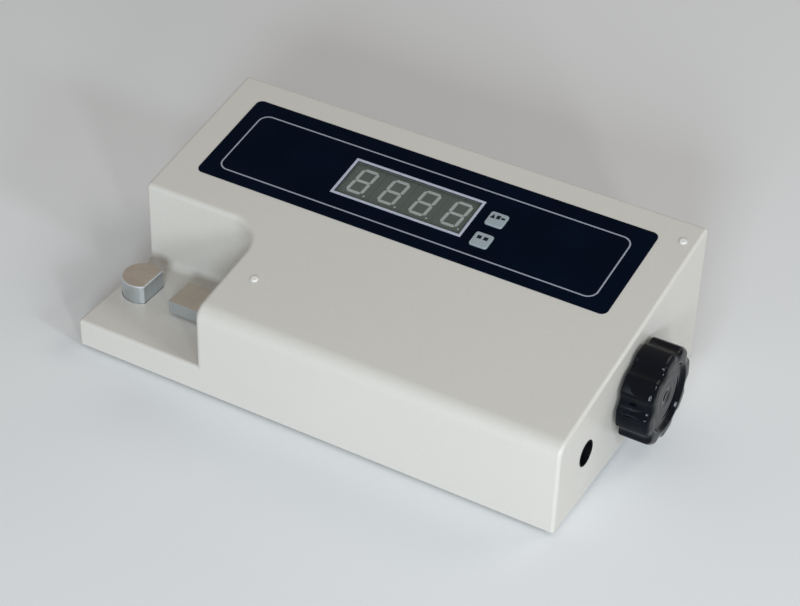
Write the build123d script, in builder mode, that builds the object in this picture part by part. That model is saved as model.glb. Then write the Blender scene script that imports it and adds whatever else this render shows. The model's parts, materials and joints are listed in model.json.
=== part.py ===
from build123d import *
import os
from math import atan2, cos, degrees, radians, sin, tan

# Tablet hardness tester, in millimetres.
# +X runs along the casing, from the shelf end to the handwheel end. +Y runs from the front to the back.
# +Z is up. The origin is on the surface it stands on, under the middle of the casing.

# Casing. Its heights are taken from its own lower edge.
case_length = 300.0
case_width = 176.5
front_height = 56.0
back_height = 86.5
case_wall = 3.0
front_edge_radius = 9.0
outer_edge_radius = 2.0
foot_drop = 2.0

# Bay: the open corner above the low shelf.
shelf_length = 80.0
shelf_depth = 70.0
shelf_height = 16.5
bay_corner_radius = 21.0
bay_cove_radius = 5.0
bay_rim_radius = 3.0

# Base plate, with the bosses it screws to and the feet under it.
plate_thickness = 2.5
plate_recess = 2.0
boss_radius = 4.5
boss_height = 20.0
boss_bite = 0.4
casing_screw_radius = 2.0
casing_screw_length = 9.0
casing_screw_head_radius = 3.8
casing_screw_head = 2.0
foot_radius = 9.0
foot_inset_x = 27.0
foot_inset_y = 24.0
foot_screw_radius = 1.5
foot_screw_head_radius = 2.8
foot_screw_head = 1.8
foot_screw_grip = 1.6

# Bed plate, which takes the force between the jaws. It reaches up to a gap below the shelf.
bed_shelf_gap = 1.0
bed_margin = 4.0
bed_right_reach = 4.0
bed_screw_radius = 2.5
bed_screw_cover = 2.0
bed_screw_head_radius = 4.6
bed_screw_head = 2.1
bed_screw_inset = 7.0
bed_screw_setback = 14.0

# Jaws. Their axis is measured from the casing's front.
jaw_inset = 41.25
anvil_inset = 15.5
anvil_radius = 12.0
anvil_flat = 7.5
anvil_height = 11.5
anvil_bevel = 0.6
anvil_screw_radius = 2.5
anvil_screw_length = 14.0
closed_gap = 0.5
close_travel = 16.5
open_travel = 23.0
jaw_width = 20.0
jaw_thickness = 8.0
jaw_lift = 1.5
jaw_bevel = 0.4
flange_thickness = 6.0
flange_width = 30.0
flange_height = 14.0

# Load cell: a bar that bends along X between the carriage and the moving jaw.
cell_length = 80.0
cell_side = 12.7
cell_hole_inset = 5.0
cell_hole_pitch = 15.0
cell_bore_radius = 4.2
cell_bore_spacing = 15.0
cell_slot = 3.0
cell_fixed_screw_radius = 2.5
cell_free_screw_radius = 2.0
cell_screw_bite = 5.0
cell_pad = 3.0
cell_fixed_head_radius = 4.25
cell_fixed_head = 4.0
cell_free_head_radius = 3.4
cell_free_head = 3.2
cell_block_gap = 7.5

# Screw drive. The screw lies in front of the middle of the load cell's fixed end.
screw_shift = 6.0
screw_height = 36.0
screw_radius = 5.0
screw_chamfer = 0.3
drive_spare = 8.0
journal_radius = 4.0
rod_radius = 4.0
rod_offset = 20.0
block_wall = 6.0
block_cover = 10.0
block_chamfer = 3.0
left_block_thickness = 10.0
left_block_gap = 3.0
right_block_thickness = 12.0
block_screw_radius = 2.5
block_screw_head_radius = 4.25
block_screw_head = 5.0
block_screw_offset = 14.0
block_screw_bite = 13.0
rod_grub_radius = 2.0
carriage_length = 40.0
carriage_wall = 6.0
carriage_chamfer = 1.5
carriage_lift = 2.0
linear_bush_wall = 2.0
linear_bush_length = 14.0
nut_radius = 7.5
nut_length = 24.0
nut_flange_radius = 12.0
nut_flange = 4.0
nut_screw_radius = 1.5
nut_screw_circle = 9.8
nut_screw_count = 4
nut_screw_angle = 45.0
nut_screw_head_radius = 2.1
nut_screw_head = 1.5
nut_screw_bite = 6.0

# Ball bearings, one in each block.
bearing_radius = 11.0
bearing_width = 7.0
inner_ring_radius = 6.3
outer_ring_bore = 8.7
ball_radius = 1.98
ball_count = 7

# Shaft end and handwheel.
collar_nose_radius = 6.0
collar_radius = 9.0
collar_width = 8.0
wall_bush_radius = 7.0
wall_bush_flange_radius = 9.5
wall_bush_flange = 1.2
handwheel_radius = 27.75
handwheel_depth = 19.0
handwheel_gap = 2.0
lobe_count = 8
lobe_angle = -15.5
flute_depth = 2.5
flute_radius = 8.0
flute_corner_radius = 2.5
handwheel_bevel = 3.2
handwheel_back_bevel = 1.2
handwheel_dish_radius = 19.2
handwheel_dish = 2.0
dish_round = 0.95
insert_radius = 8.0
insert_length = 13.0
shaft_grub_radius = 2.0

# Round hole in the right end, and the trimmer behind it.
side_hole_radius = 7.3
side_hole_inset = 33.15
side_hole_height = 29.9
trimmer_radius = 8.0
trimmer_depth = 9.0
trimmer_bush_radius = 3.4
trimmer_bush_length = 7.0
trimmer_spindle_radius = 2.6
trimmer_spindle_length = 5.0
trimmer_setback = 22.0
bracket_thickness = 2.0
bracket_width = 22.0
bracket_foot = 18.0
bracket_screw_inset = 11.0
bracket_cover = 1.5

# Label panel on the slope. Its back margin is measured along the slope.
panel_left_margin = 18.8
panel_right_margin = 21.2
panel_back_margin = 16.91
panel_depth = 68.5
panel_thickness = 0.3
panel_radius = 4.0

# Display: four seven-segment modules behind one window. Its place is taken from the panel's middle.
display_right = -9.1
display_up = -0.5
module_count = 4
module_width = 20.0
module_depth = 28.0
module_height = 8.0
module_gap = 0.2
window_thickness = 0.8
window_margin = 2.4
display_line = 1.5
display_line_height = 0.3
digit_width = 10.6
digit_height = 19.4
digit_slant = 9.0
digit_shift = 0.4
digit_rise = 0.9
segment_width = 1.7
segment_gap = 0.5
segment_height = 0.12
point_radius = 0.75
point_shift_x = 7.2
display_board_margin = 6.45
display_board_side = 13.0
board_corner = 2.0
board_thickness = 1.6
board_post_radius = 3.2
board_post_inset = 4.0

# Keys. Their places are taken from the display's right edge and the panel's middle.
key_right = 13.5
upper_key_up = 4.6
lower_key_up = -13.3
key_width = 11.0
key_depth = 10.7
key_radius = 1.6
key_proud = 0.9
key_flange = 1.0
key_flange_height = 1.0
key_stem_radius = 1.7
key_travel = 0.8
key_edge_radius = 0.5
stem_reach = 0.5
switch_side = 6.2
switch_height = 3.5

# Snap-in plugs on the slope, one near the bay and one near the far corner.
bay_plug_right = 17.1
bay_plug_inset = 33.85
far_plug_inset_x = 8.0
far_plug_inset = 16.3
plug_head_radius = 2.1
plug_head = 0.9
plug_shank_radius = 1.4
plug_shank = 5.0

# Transformer.
core_length = 44.0
core_height = 37.0
core_stack = 18.0
core_leg = 7.4
winding_overhang = 7.5
winding_gap = 0.4
strap_thickness = 1.2
strap_ear = 9.0
strap_width = 15.0
transformer_inset = 40.0
transformer_back_inset = 64.25

# Main circuit board and what stands on it.
main_board_length = 118.0
main_board_right_inset = 69.0
main_board_back_inset = 12.25
main_board_gap = 2.0
spacer_inset = 3.5
spacer_height = 6.0
spacer_radius = 3.0
m3_radius = 1.5
m3_head_radius = 2.8
m3_head = 2.0
m3_bite = 1.8
chip_inset = 8.0
chip_front_inset = 1.5
chip_length = 52.0
chip_width = 13.8
chip_height = 4.2
capacitor_radius = 6.4
capacitor_height = 22.0
capacitor_spacing = 14.0
capacitor_inset = 4.0
heatsink_length = 22.0
heatsink_width = 15.0
heatsink_height = 22.0
heatsink_base = 2.6
fin_count = 5
fin_thickness = 1.2

# Wiring: a ribbon cable between the boards and round wires between the mains parts.
ribbon_x = 0.0
ribbon_width = 24.0
ribbon_thickness = 1.2
ribbon_radius = 5.0
ribbon_top_inset = 7.2
ribbon_low_inset = 5.0
ribbon_tail = 8.0
ribbon_slack = 4.0
wire_radius = 0.9
wire_bend = 4.0
wire_spacing = 5.0

# Back of the casing: mains inlet, power switch and fuse holder, in line.
rear_height = 34.0
inlet_inset = 38.0
inlet_flange_length = 50.0
inlet_flange_height = 23.0
inlet_corner = 5.5
inlet_flange = 3.0
inlet_body_length = 27.6
inlet_body_height = 20.0
inlet_body_depth = 20.0
socket_length = 24.2
socket_height = 16.4
socket_depth = 17.0
socket_chamfer = 4.0
pin_pitch = 14.0
pin_thickness = 2.0
pin_height = 4.0
pin_length = 15.0
earth_pin_lift = 4.0
inlet_screw_pitch = 40.0
switch_pitch = 50.0
switch_bezel_width = 15.0
switch_bezel_height = 21.0
switch_bezel = 2.0
switch_body_width = 13.0
switch_body_height = 19.0
switch_body_depth = 17.0
rocker_width = 10.0
rocker_height = 14.8
rocker_tilt = 10.0
rocker_pin_radius = 1.2
rocker_setback = 1.5
rocker_rise = 3.4
rocker_valley = 2.1
rocker_skirt = 1.0
rocker_taper = 0.4
rocker_depth = 5.0
rocker_foot = 2.6
fuse_pitch = 28.0
fuse_body_radius = 6.0
fuse_flange_radius = 8.0
fuse_flange = 2.0
fuse_body_depth = 26.0
fuse_cap_radius = 5.6
fuse_cap_length = 9.0

# Small shapes that several pieces share.
edge_chamfer = 0.5
small_round = 0.6
socket_width = 0.5
socket_depth_share = 0.55
driver_slot = 1.0
driver_slot_depth = 1.4

# Clearances: between fixed pieces, under things that move, in running fits and in seats.
fit_gap = 0.3
plate_gap = 0.4
end_gap = 0.2
running_gap = 0.05
seat_gap = 0.02
thread_gap = 0.02

# Places that follow from the sizes.
left_x = -case_length / 2
right_x = case_length / 2
front_y = -case_width / 2
back_y = case_width / 2
bay_x = left_x + shelf_length
bay_y = front_y + shelf_depth
shelf_top = foot_drop + shelf_height
slope = atan2(back_height - front_height, case_width)
plate_bottom = foot_drop + plate_recess
plate_top = plate_bottom + plate_thickness
bed_top = shelf_top - case_wall - bed_shelf_gap
bed_thickness = bed_top - plate_top
screw_z = foot_drop + screw_height
jaw_y = front_y + jaw_inset
anvil_x = left_x + anvil_inset
anvil_top = shelf_top + anvil_height
jaw_face_x = anvil_x + anvil_flat + closed_gap + close_travel
jaw_bottom = shelf_top + jaw_lift
jaw_z = jaw_bottom + jaw_thickness / 2
left_block_x = bay_x + case_wall + left_block_gap
left_block_face = left_block_x + left_block_thickness
cell_x = left_block_face + close_travel + cell_block_gap
flange_x = cell_x - flange_thickness
pad_x = cell_x + cell_side
carriage_x = pad_x + cell_pad
carriage_right = carriage_x + carriage_length
carriage_bottom = bed_top + carriage_lift
cell_end_y = jaw_y + cell_length - 2 * cell_hole_inset - cell_hole_pitch
screw_y = cell_end_y - screw_shift
right_block_x = carriage_right + nut_flange + nut_screw_head + open_travel + drive_spare
side_hole_y = front_y + side_hole_inset
handwheel_x = right_x + handwheel_gap
rear_z = foot_drop + rear_height
inlet_x = left_x + inlet_inset
switch_x = inlet_x + switch_pitch
fuse_x = switch_x + fuse_pitch
transformer_x = left_x + transformer_inset
transformer_y = back_y - transformer_back_inset

# Places on the slope, measured along it from the line above y = 0.
slope_front = front_y / cos(slope)
slope_back = back_y / cos(slope)
panel_length = case_length - panel_left_margin - panel_right_margin
panel_x = (panel_left_margin - panel_right_margin) / 2
panel_s = slope_back - panel_back_margin - panel_depth / 2
display_x = panel_x + display_right
display_s = panel_s + display_up
display_length = module_count * module_width + (module_count - 1) * module_gap
key_x = display_x + display_length / 2 + key_right
key_places = {
    "upper_key": (key_x, panel_s + upper_key_up),
    "lower_key": (key_x, panel_s + lower_key_up),
}
plug_places = [
    (bay_x + bay_plug_right, slope_front + bay_plug_inset),
    (right_x - far_plug_inset_x, slope_back - far_plug_inset),
]


def slope_height(y):
    """The height of the casing's sharp sloping face above the surface, at a depth y."""
    return foot_drop + front_height + (y - front_y) * tan(slope)


slope_plane = Plane(
    origin=(0, 0, slope_height(0)), x_dir=(1, 0, 0), z_dir=(0, -sin(slope), cos(slope))
)
align_up = (Align.CENTER, Align.CENTER, Align.MIN)
align_down = (Align.CENTER, Align.CENTER, Align.MAX)


def along_x(x, y, z):
    """A plane at a point that faces +X, with its own x axis along +Y and its y axis up."""
    return Plane(origin=(x, y, z), x_dir=(0, 1, 0), z_dir=(1, 0, 0))


def on_back(x, z):
    """A plane on the back wall's outer face, facing +Y, with its own x axis along -X and its y axis up."""
    return Plane(origin=(x, back_y, z), x_dir=(-1, 0, 0), z_dir=(0, 1, 0))


def make_screw(shank_radius, shank_length, head_radius, head_height, countersunk=False):
    """A socket screw that points down, with its seat, or its flush top if countersunk, at z = 0."""
    head_top = 0 if countersunk else head_height
    with BuildPart() as screw:
        Cylinder(shank_radius, shank_length, align=align_down)
        if countersunk:
            Cone(shank_radius, head_radius, head_height, align=align_down)
        else:
            Cylinder(head_radius, head_height, align=align_up)
        with BuildSketch(Plane.XY.offset(head_top)):
            RegularPolygon(radius=head_radius * socket_width, side_count=6)
        extrude(amount=-head_height * socket_depth_share, mode=Mode.SUBTRACT)
    return screw.part


def make_grub(radius, length):
    """A headless screw that points down from z = 0."""
    with BuildPart() as grub:
        Cylinder(radius, length, align=align_down)
        with BuildSketch():
            RegularPolygon(radius=radius * socket_width, side_count=6)
        extrude(amount=-radius, mode=Mode.SUBTRACT)
    return grub.part


# ---------------------------------------------------------------------------------------------
# Casing
# ---------------------------------------------------------------------------------------------


def bay_space(grow):
    """The empty bay above the shelf, grown on every side. Its cove runs along the back wall and
    round the corner, and ends at the moving jaw's opening."""
    outside = shelf_length
    far_x, far_y = left_x - outside, front_y - outside
    wall_x, wall_y, floor_z = bay_x + grow, bay_y + grow, shelf_top - grow
    with BuildPart() as bay:
        with BuildSketch(Plane.XY.offset(floor_z)):
            with BuildLine():
                Polyline((far_x, jaw_y), (far_x, wall_y), (wall_x, wall_y), (wall_x, jaw_y), close=True)
            make_face()
            fillet(vertices().sort_by_distance((wall_x, wall_y))[0], bay_corner_radius + grow)
        extrude(amount=back_height)
        floor_edges = bay.edges().group_by(Axis.Z)[0]
        cove_edges = [
            edge
            for edge in floor_edges
            if edge.center().Y > jaw_y + end_gap and edge.center().X > left_x - outside + end_gap
        ]
        fillet(cove_edges, bay_cove_radius + grow)
        with BuildSketch(Plane.XY.offset(floor_z)):
            with BuildLine():
                Polyline((far_x, far_y), (far_x, jaw_y), (wall_x, jaw_y), (wall_x, far_y), close=True)
            make_face()
        extrude(amount=back_height)
    return bay.part


def casing_space(inset, bottom):
    """The casing's volume, drawn in by an inset on every side except the bottom: the side profile
    along the whole length, less the bay."""
    low_x, high_x = left_x + inset, right_x - inset
    low_y, high_y = front_y + inset, back_y - inset
    drop = inset / cos(slope)
    front_top = slope_height(low_y) - drop
    with BuildPart() as space:
        with BuildSketch(Plane.YZ.offset(low_x)):
            with BuildLine():
                Polyline(
                    (low_y, bottom),
                    (low_y, front_top),
                    (high_y, slope_height(high_y) - drop),
                    (high_y, bottom),
                    close=True,
                )
            make_face()
            fillet(vertices().sort_by_distance((low_y, front_top))[0], front_edge_radius - inset)
        extrude(amount=high_x - low_x)
        add(bay_space(inset), mode=Mode.SUBTRACT)
    return space.part


boss_x = case_length / 2 - case_wall - boss_radius + boss_bite
boss_y = case_width / 2 - case_wall - boss_radius + boss_bite
boss_places = [(x, y) for x in (-boss_x, 0, boss_x) for y in (-boss_y, boss_y)]
window_opening = (display_length + fit_gap * 2, module_depth + fit_gap * 2)
window_size = (display_length + window_margin * 2, module_depth + window_margin * 2)
board_left = display_x - display_length / 2 - display_board_margin
board_right = key_x + key_width + display_board_margin
board_x = (board_left + board_right) / 2
display_board_length = board_right - board_left
display_board_depth = module_depth + display_board_side * 2
board_places = [
    (
        board_x + sx * (display_board_length / 2 - board_post_inset),
        display_s + ss * (display_board_depth / 2 - board_post_inset),
    )
    for sx in (-1, 1)
    for ss in (-1, 1)
]
module_top = -window_thickness - fit_gap
board_top = module_top - module_height
side_hole_z = foot_drop + side_hole_height


def on_bay_rim(edge):
    """Whether an edge is where the bay's walls meet the sloping top and the front face."""
    centre = edge.center()
    in_bay = left_x + end_gap < centre.X < bay_x + end_gap and centre.Y < bay_y + end_gap
    above_cove = centre.Z > shelf_top + bay_cove_radius + end_gap
    seam = abs(edge.tangent_at(0.5).Z) > cos(slope) and centre.Y > front_y + end_gap
    return in_bay and above_cove and not seam


def at_end(edge, x):
    """Whether an edge lies in the casing's end face at x, above its lower edge."""
    box = edge.bounding_box()
    return abs(box.min.X - x) < end_gap and abs(box.max.X - x) < end_gap and box.max.Z > plate_bottom


with BuildPart() as main_casing:
    add(casing_space(0, foot_drop))
    fillet(main_casing.edges().filter_by(on_bay_rim), bay_rim_radius)
    rounded = main_casing.edges().filter_by(
        lambda edge: at_end(edge, left_x)
        or at_end(edge, right_x)
        or (abs(edge.center().Y - back_y) < end_gap and edge.center().Z > foot_drop + front_height)
        or (abs(edge.center().Y - front_y) < end_gap and abs(edge.center().Z - shelf_top) < end_gap)
    )
    fillet(rounded, outer_edge_radius)
    add(casing_space(case_wall, 0), mode=Mode.SUBTRACT)
    # Bosses for the base plate's screws, each merged into its wall.
    for x, y in boss_places:
        under_shelf = x < bay_x and y < bay_y
        boss_top = shelf_top - case_wall / 2 if under_shelf else plate_top + boss_height
        with Locations((x, y, plate_top)):
            Cylinder(boss_radius, boss_top - plate_top, align=align_up)
            Cylinder(
                casing_screw_radius + thread_gap, casing_screw_length, align=align_up, mode=Mode.SUBTRACT
            )
    # Posts under the slope that carry the display board.
    with BuildSketch(slope_plane.offset(-case_wall / 2)):
        with Locations(*board_places):
            Circle(board_post_radius)
    extrude(amount=board_top + case_wall / 2)
    with BuildSketch(slope_plane.offset(board_top)):
        with Locations(*board_places):
            Circle(m3_radius + thread_gap)
    extrude(amount=-board_top - case_wall, mode=Mode.SUBTRACT)
    # Window with its rebate, and the key holes.
    with BuildSketch(slope_plane):
        with Locations((display_x, display_s)):
            Rectangle(window_size[0] + fit_gap, window_size[1] + fit_gap)
    extrude(amount=-window_thickness, mode=Mode.SUBTRACT)
    with BuildSketch(slope_plane):
        with Locations((display_x, display_s)):
            Rectangle(*window_opening)
        with Locations(*key_places.values()):
            RectangleRounded(key_width + fit_gap * 2, key_depth + fit_gap * 2, key_radius + fit_gap)
    extrude(amount=-case_wall - fit_gap, mode=Mode.SUBTRACT)
    with BuildSketch(slope_plane):
        with Locations(*plug_places):
            Circle(plug_shank_radius + running_gap)
    extrude(amount=-case_wall - fit_gap, mode=Mode.SUBTRACT)
    # Opening of the moving jaw through the bay's right wall, cut clear of the shelf.
    with Locations((bay_x, jaw_y, jaw_z)):
        Box(
            (case_wall + bay_cove_radius) * 2 + fit_gap,
            jaw_width + fit_gap * 2,
            jaw_thickness + fit_gap * 2,
            mode=Mode.SUBTRACT,
        )
    # Opening of the anvil through the shelf.
    with BuildSketch(Plane.XY.offset(shelf_top)):
        with Locations((anvil_x, jaw_y)):
            Circle(anvil_radius + fit_gap)
            with Locations((anvil_flat + fit_gap + anvil_radius, 0)):
                Rectangle(anvil_radius * 2, anvil_radius * 2, mode=Mode.SUBTRACT)
    extrude(amount=-case_wall - fit_gap, mode=Mode.SUBTRACT)
    # Round holes in the right end: the shaft's bush and the trimmer's access hole.
    with BuildSketch(along_x(right_x, 0, 0)):
        with Locations((screw_y, screw_z)):
            Circle(wall_bush_radius + seat_gap)
        with Locations((side_hole_y, side_hole_z)):
            Circle(side_hole_radius)
    extrude(amount=-case_wall - fit_gap, mode=Mode.SUBTRACT)
    # Cut-outs in the back wall.
    with BuildSketch(on_back(0, rear_z)):
        with Locations((-inlet_x, 0)):
            Rectangle(inlet_body_length + fit_gap * 2, inlet_body_height + fit_gap * 2)
        with Locations((-switch_x, 0)):
            Rectangle(switch_body_width + fit_gap * 2, switch_body_height + fit_gap * 2)
        with Locations((-fuse_x, 0)):
            Circle(fuse_body_radius + fit_gap)
        with Locations((-inlet_x - inlet_screw_pitch / 2, 0), (-inlet_x + inlet_screw_pitch / 2, 0)):
            Circle(m3_radius + thread_gap)
    extrude(amount=-case_wall - fit_gap, mode=Mode.SUBTRACT)

with BuildPart() as hole_plugs:
    with BuildSketch(slope_plane):
        with Locations(*plug_places):
            Circle(plug_head_radius)
    extrude(amount=plug_head)
    fillet(hole_plugs.edges().group_by(Axis(slope_plane.origin, slope_plane.z_dir))[-1], plug_head / 2)
    with BuildSketch(slope_plane):
        with Locations(*plug_places):
            Circle(plug_shank_radius)
    extrude(amount=-plug_shank)

# ---------------------------------------------------------------------------------------------
# Base plate, feet and bed plate
# ---------------------------------------------------------------------------------------------

plate_length = case_length - (case_wall + plate_gap) * 2
plate_width = case_width - (case_wall + plate_gap) * 2
foot_places = [
    (sx * (case_length / 2 - foot_inset_x), sy * (case_width / 2 - foot_inset_y))
    for sx in (-1, 1)
    for sy in (-1, 1)
]
carriage_width = (rod_offset + rod_radius + linear_bush_wall + carriage_wall) * 2
carriage_height = screw_z + nut_flange_radius - carriage_bottom
block_width = (rod_offset + rod_radius + block_wall) * 2
block_height = screw_z + rod_radius + block_cover - bed_top
bed_left = left_x + bed_margin
bed_right = right_block_x + right_block_thickness + bed_right_reach
bed_front = jaw_y - flange_width / 2
bed_back = screw_y + carriage_width / 2
bed_shelf_back = bay_y - case_wall
bed_step = left_block_x - bed_margin / 2
bed_screw_length = plate_thickness + bed_thickness - bed_screw_cover
bed_screw_places = [
    (anvil_x + bed_screw_setback * 2, bed_front + bed_screw_inset),
    (anvil_x + bed_screw_setback * 2, bed_shelf_back - bed_screw_inset),
    (left_block_face + bed_screw_setback, bed_front + bed_screw_inset),
    (left_block_face + bed_screw_setback, bed_back - bed_screw_inset),
    (bed_right - bed_screw_inset, bed_front + bed_screw_inset),
    (right_block_x - bed_screw_setback, bed_back - bed_screw_inset),
]
main_board_front = bed_back + main_board_gap
main_board_width = back_y - main_board_back_inset - main_board_front
main_board_x = right_x - main_board_right_inset - main_board_length / 2
main_board_y = main_board_front + main_board_width / 2
strap_half = core_length / 2 + seat_gap
transformer_ears = [
    (transformer_x + sx * (strap_half + strap_thickness + strap_ear / 2), transformer_y) for sx in (-1, 1)
]
bracket_x = right_x - trimmer_setback
bracket_screws = [(bracket_x - bracket_screw_inset, side_hole_y + sy * bracket_width / 4) for sy in (-1, 1)]
spacer_places = [
    (
        main_board_x + sx * (main_board_length / 2 - spacer_inset),
        main_board_y + sy * (main_board_width / 2 - spacer_inset),
    )
    for sx in (-1, 1)
    for sy in (-1, 1)
]

with BuildPart() as base_plate:
    with BuildSketch(Plane.XY.offset(plate_bottom)):
        Rectangle(plate_length, plate_width)
    extrude(amount=plate_thickness)
    with Locations(*[(x, y, plate_bottom) for x, y in boss_places]):
        Cylinder(casing_screw_radius + fit_gap, plate_thickness, align=align_up, mode=Mode.SUBTRACT)
    with Locations(*[(x, y, plate_bottom) for x, y in boss_places]):
        Cone(
            casing_screw_head_radius + seat_gap,
            casing_screw_radius + seat_gap,
            casing_screw_head,
            align=align_up,
            mode=Mode.SUBTRACT,
        )
    with Locations(*[(x, y, plate_bottom) for x, y in bed_screw_places]):
        Cylinder(bed_screw_radius + fit_gap, plate_thickness, align=align_up, mode=Mode.SUBTRACT)
    with Locations(*[(x, y, plate_bottom) for x, y in bed_screw_places]):
        Cone(
            bed_screw_head_radius + seat_gap,
            bed_screw_radius + seat_gap,
            bed_screw_head,
            align=align_up,
            mode=Mode.SUBTRACT,
        )
    with Locations(*[(x, y, plate_bottom) for x, y in foot_places]):
        Cylinder(foot_screw_radius + thread_gap, plate_thickness, align=align_up, mode=Mode.SUBTRACT)
    with Locations(*[(x, y, plate_bottom) for x, y in transformer_ears + bracket_screws + spacer_places]):
        Cylinder(m3_radius + thread_gap, plate_thickness, align=align_up, mode=Mode.SUBTRACT)

casing_screw = make_screw(
    casing_screw_radius,
    casing_screw_length,
    casing_screw_head_radius,
    casing_screw_head,
    countersunk=True,
)
with BuildPart() as base_plate_screws:
    with Locations(*[Plane(origin=(x, y, plate_bottom), z_dir=(0, 0, -1)) for x, y in boss_places]):
        add(casing_screw)

foot_height = plate_bottom
foot_seat = foot_height - foot_screw_grip
with BuildPart() as rubber_feet:
    with Locations(*foot_places):
        Cylinder(foot_radius, foot_height, align=align_up)
        Cylinder(foot_screw_head_radius + fit_gap, foot_seat, align=align_up, mode=Mode.SUBTRACT)
        Cylinder(foot_screw_radius + thread_gap, foot_height, align=align_up, mode=Mode.SUBTRACT)

foot_screw = make_screw(
    foot_screw_radius,
    foot_screw_grip + plate_thickness - thread_gap,
    foot_screw_head_radius,
    foot_screw_head,
)
with BuildPart() as foot_screws:
    with Locations(*[Plane(origin=(x, y, foot_seat), z_dir=(0, 0, -1)) for x, y in foot_places]):
        add(foot_screw)

block_places = {
    "left_bearing_block": (left_block_x, left_block_thickness),
    "right_bearing_block": (right_block_x, right_block_thickness),
}
block_screw_places = [
    (x + thickness / 2, screw_y + sy * block_screw_offset)
    for x, thickness in block_places.values()
    for sy in (-1, 1)
]

with BuildPart() as bed_plate:
    with BuildSketch(Plane.XY.offset(plate_top)):
        with BuildLine():
            Polyline(
                (bed_left, bed_front),
                (bed_right, bed_front),
                (bed_right, bed_back),
                (bed_step, bed_back),
                (bed_step, bed_shelf_back),
                (bed_left, bed_shelf_back),
                close=True,
            )
        make_face()
    extrude(amount=bed_thickness)
    chamfer(bed_plate.edges().group_by(Axis.Z)[-1], edge_chamfer)
    with Locations(*[(x, y, plate_top) for x, y in bed_screw_places]):
        Cylinder(bed_screw_radius + thread_gap, bed_screw_length, align=align_up, mode=Mode.SUBTRACT)
    with Locations(*[(x, y, plate_top) for x, y in block_screw_places + [(anvil_x, jaw_y)]]):
        Cylinder(block_screw_radius + fit_gap, bed_thickness, align=align_up, mode=Mode.SUBTRACT)
        Cylinder(
            block_screw_head_radius + fit_gap, block_screw_head + end_gap, align=align_up, mode=Mode.SUBTRACT
        )

bed_screw = make_screw(
    bed_screw_radius, bed_screw_length, bed_screw_head_radius, bed_screw_head, countersunk=True
)
with BuildPart() as bed_plate_screws:
    with Locations(*[Plane(origin=(x, y, plate_bottom), z_dir=(0, 0, -1)) for x, y in bed_screw_places]):
        add(bed_screw)

# ---------------------------------------------------------------------------------------------
# Anvil and moving jaw
# ---------------------------------------------------------------------------------------------

head_seat = plate_top + block_screw_head + end_gap
with BuildPart() as fixed_anvil:
    with BuildSketch(Plane.XY.offset(bed_top)):
        with Locations((anvil_x, jaw_y)):
            Circle(anvil_radius)
            with Locations((anvil_flat + anvil_radius, 0)):
                Rectangle(anvil_radius * 2, anvil_radius * 2, mode=Mode.SUBTRACT)
    extrude(amount=anvil_top - bed_top)
    chamfer(fixed_anvil.edges().group_by(Axis.Z)[-1], anvil_bevel)
    with Locations((anvil_x, jaw_y, bed_top)):
        Cylinder(
            anvil_screw_radius + thread_gap,
            head_seat + anvil_screw_length - bed_top,
            align=align_up,
            mode=Mode.SUBTRACT,
        )

anvil_bolt = make_screw(anvil_screw_radius, anvil_screw_length, block_screw_head_radius, block_screw_head)
with BuildPart() as anvil_screw:
    with Locations(Plane(origin=(anvil_x, jaw_y, head_seat), z_dir=(0, 0, -1))):
        add(anvil_bolt)

fixed_hole_y = [cell_end_y - cell_hole_pitch / 2, cell_end_y + cell_hole_pitch / 2]
free_hole_y = [jaw_y - cell_hole_pitch / 2, jaw_y + cell_hole_pitch / 2]
cell_middle_y = (jaw_y + cell_end_y) / 2

with BuildPart() as moving_jaw:
    with BuildSketch(along_x(jaw_face_x, jaw_y, jaw_z)):
        Rectangle(jaw_width, jaw_thickness)
    extrude(amount=flange_x - jaw_face_x)
    chamfer(moving_jaw.edges().group_by(Axis.X)[0], jaw_bevel)
    with BuildSketch(along_x(flange_x, jaw_y, jaw_z)):
        Rectangle(flange_width, flange_height)
    extrude(amount=flange_thickness)
    with BuildSketch(along_x(cell_x, 0, jaw_z)):
        with Locations(*[(y, 0) for y in free_hole_y]):
            Circle(cell_free_screw_radius + thread_gap)
    extrude(amount=-cell_screw_bite - end_gap, mode=Mode.SUBTRACT)

with BuildPart() as load_cell:
    with BuildSketch(along_x(cell_x, cell_middle_y, jaw_z)):
        Rectangle(cell_length, cell_side)
    extrude(amount=cell_side)
    with BuildSketch(Plane.XY.offset(jaw_z - cell_side / 2)):
        with Locations((cell_x + cell_side / 2, cell_middle_y)):
            with GridLocations(0, cell_bore_spacing, 1, 2):
                Circle(cell_bore_radius)
            Rectangle(cell_slot, cell_bore_spacing)
    extrude(amount=cell_side, mode=Mode.SUBTRACT)
    with BuildSketch(along_x(cell_x, 0, jaw_z)):
        with Locations(*[(y, 0) for y in fixed_hole_y]):
            Circle(cell_fixed_screw_radius + fit_gap)
        with Locations(*[(y, 0) for y in free_hole_y]):
            Circle(cell_free_screw_radius + fit_gap)
    extrude(amount=cell_side, mode=Mode.SUBTRACT)

fixed_screw = make_screw(
    cell_fixed_screw_radius,
    cell_side + cell_pad + cell_screw_bite,
    cell_fixed_head_radius,
    cell_fixed_head,
)
free_screw = make_screw(
    cell_free_screw_radius,
    cell_side + cell_screw_bite,
    cell_free_head_radius,
    cell_free_head,
)
with BuildPart() as load_cell_screws:
    with Locations(*[Plane(origin=(cell_x, y, jaw_z), z_dir=(-1, 0, 0)) for y in fixed_hole_y]):
        add(fixed_screw)
    with Locations(*[Plane(origin=(pad_x, y, jaw_z), z_dir=(1, 0, 0)) for y in free_hole_y]):
        add(free_screw)

# ---------------------------------------------------------------------------------------------
# Screw drive
# ---------------------------------------------------------------------------------------------

rod_y = [screw_y - rod_offset, screw_y + rod_offset]
block_top = bed_top + block_height
left_pocket_x = left_block_face - bearing_width
right_pocket_x = right_block_x


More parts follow.
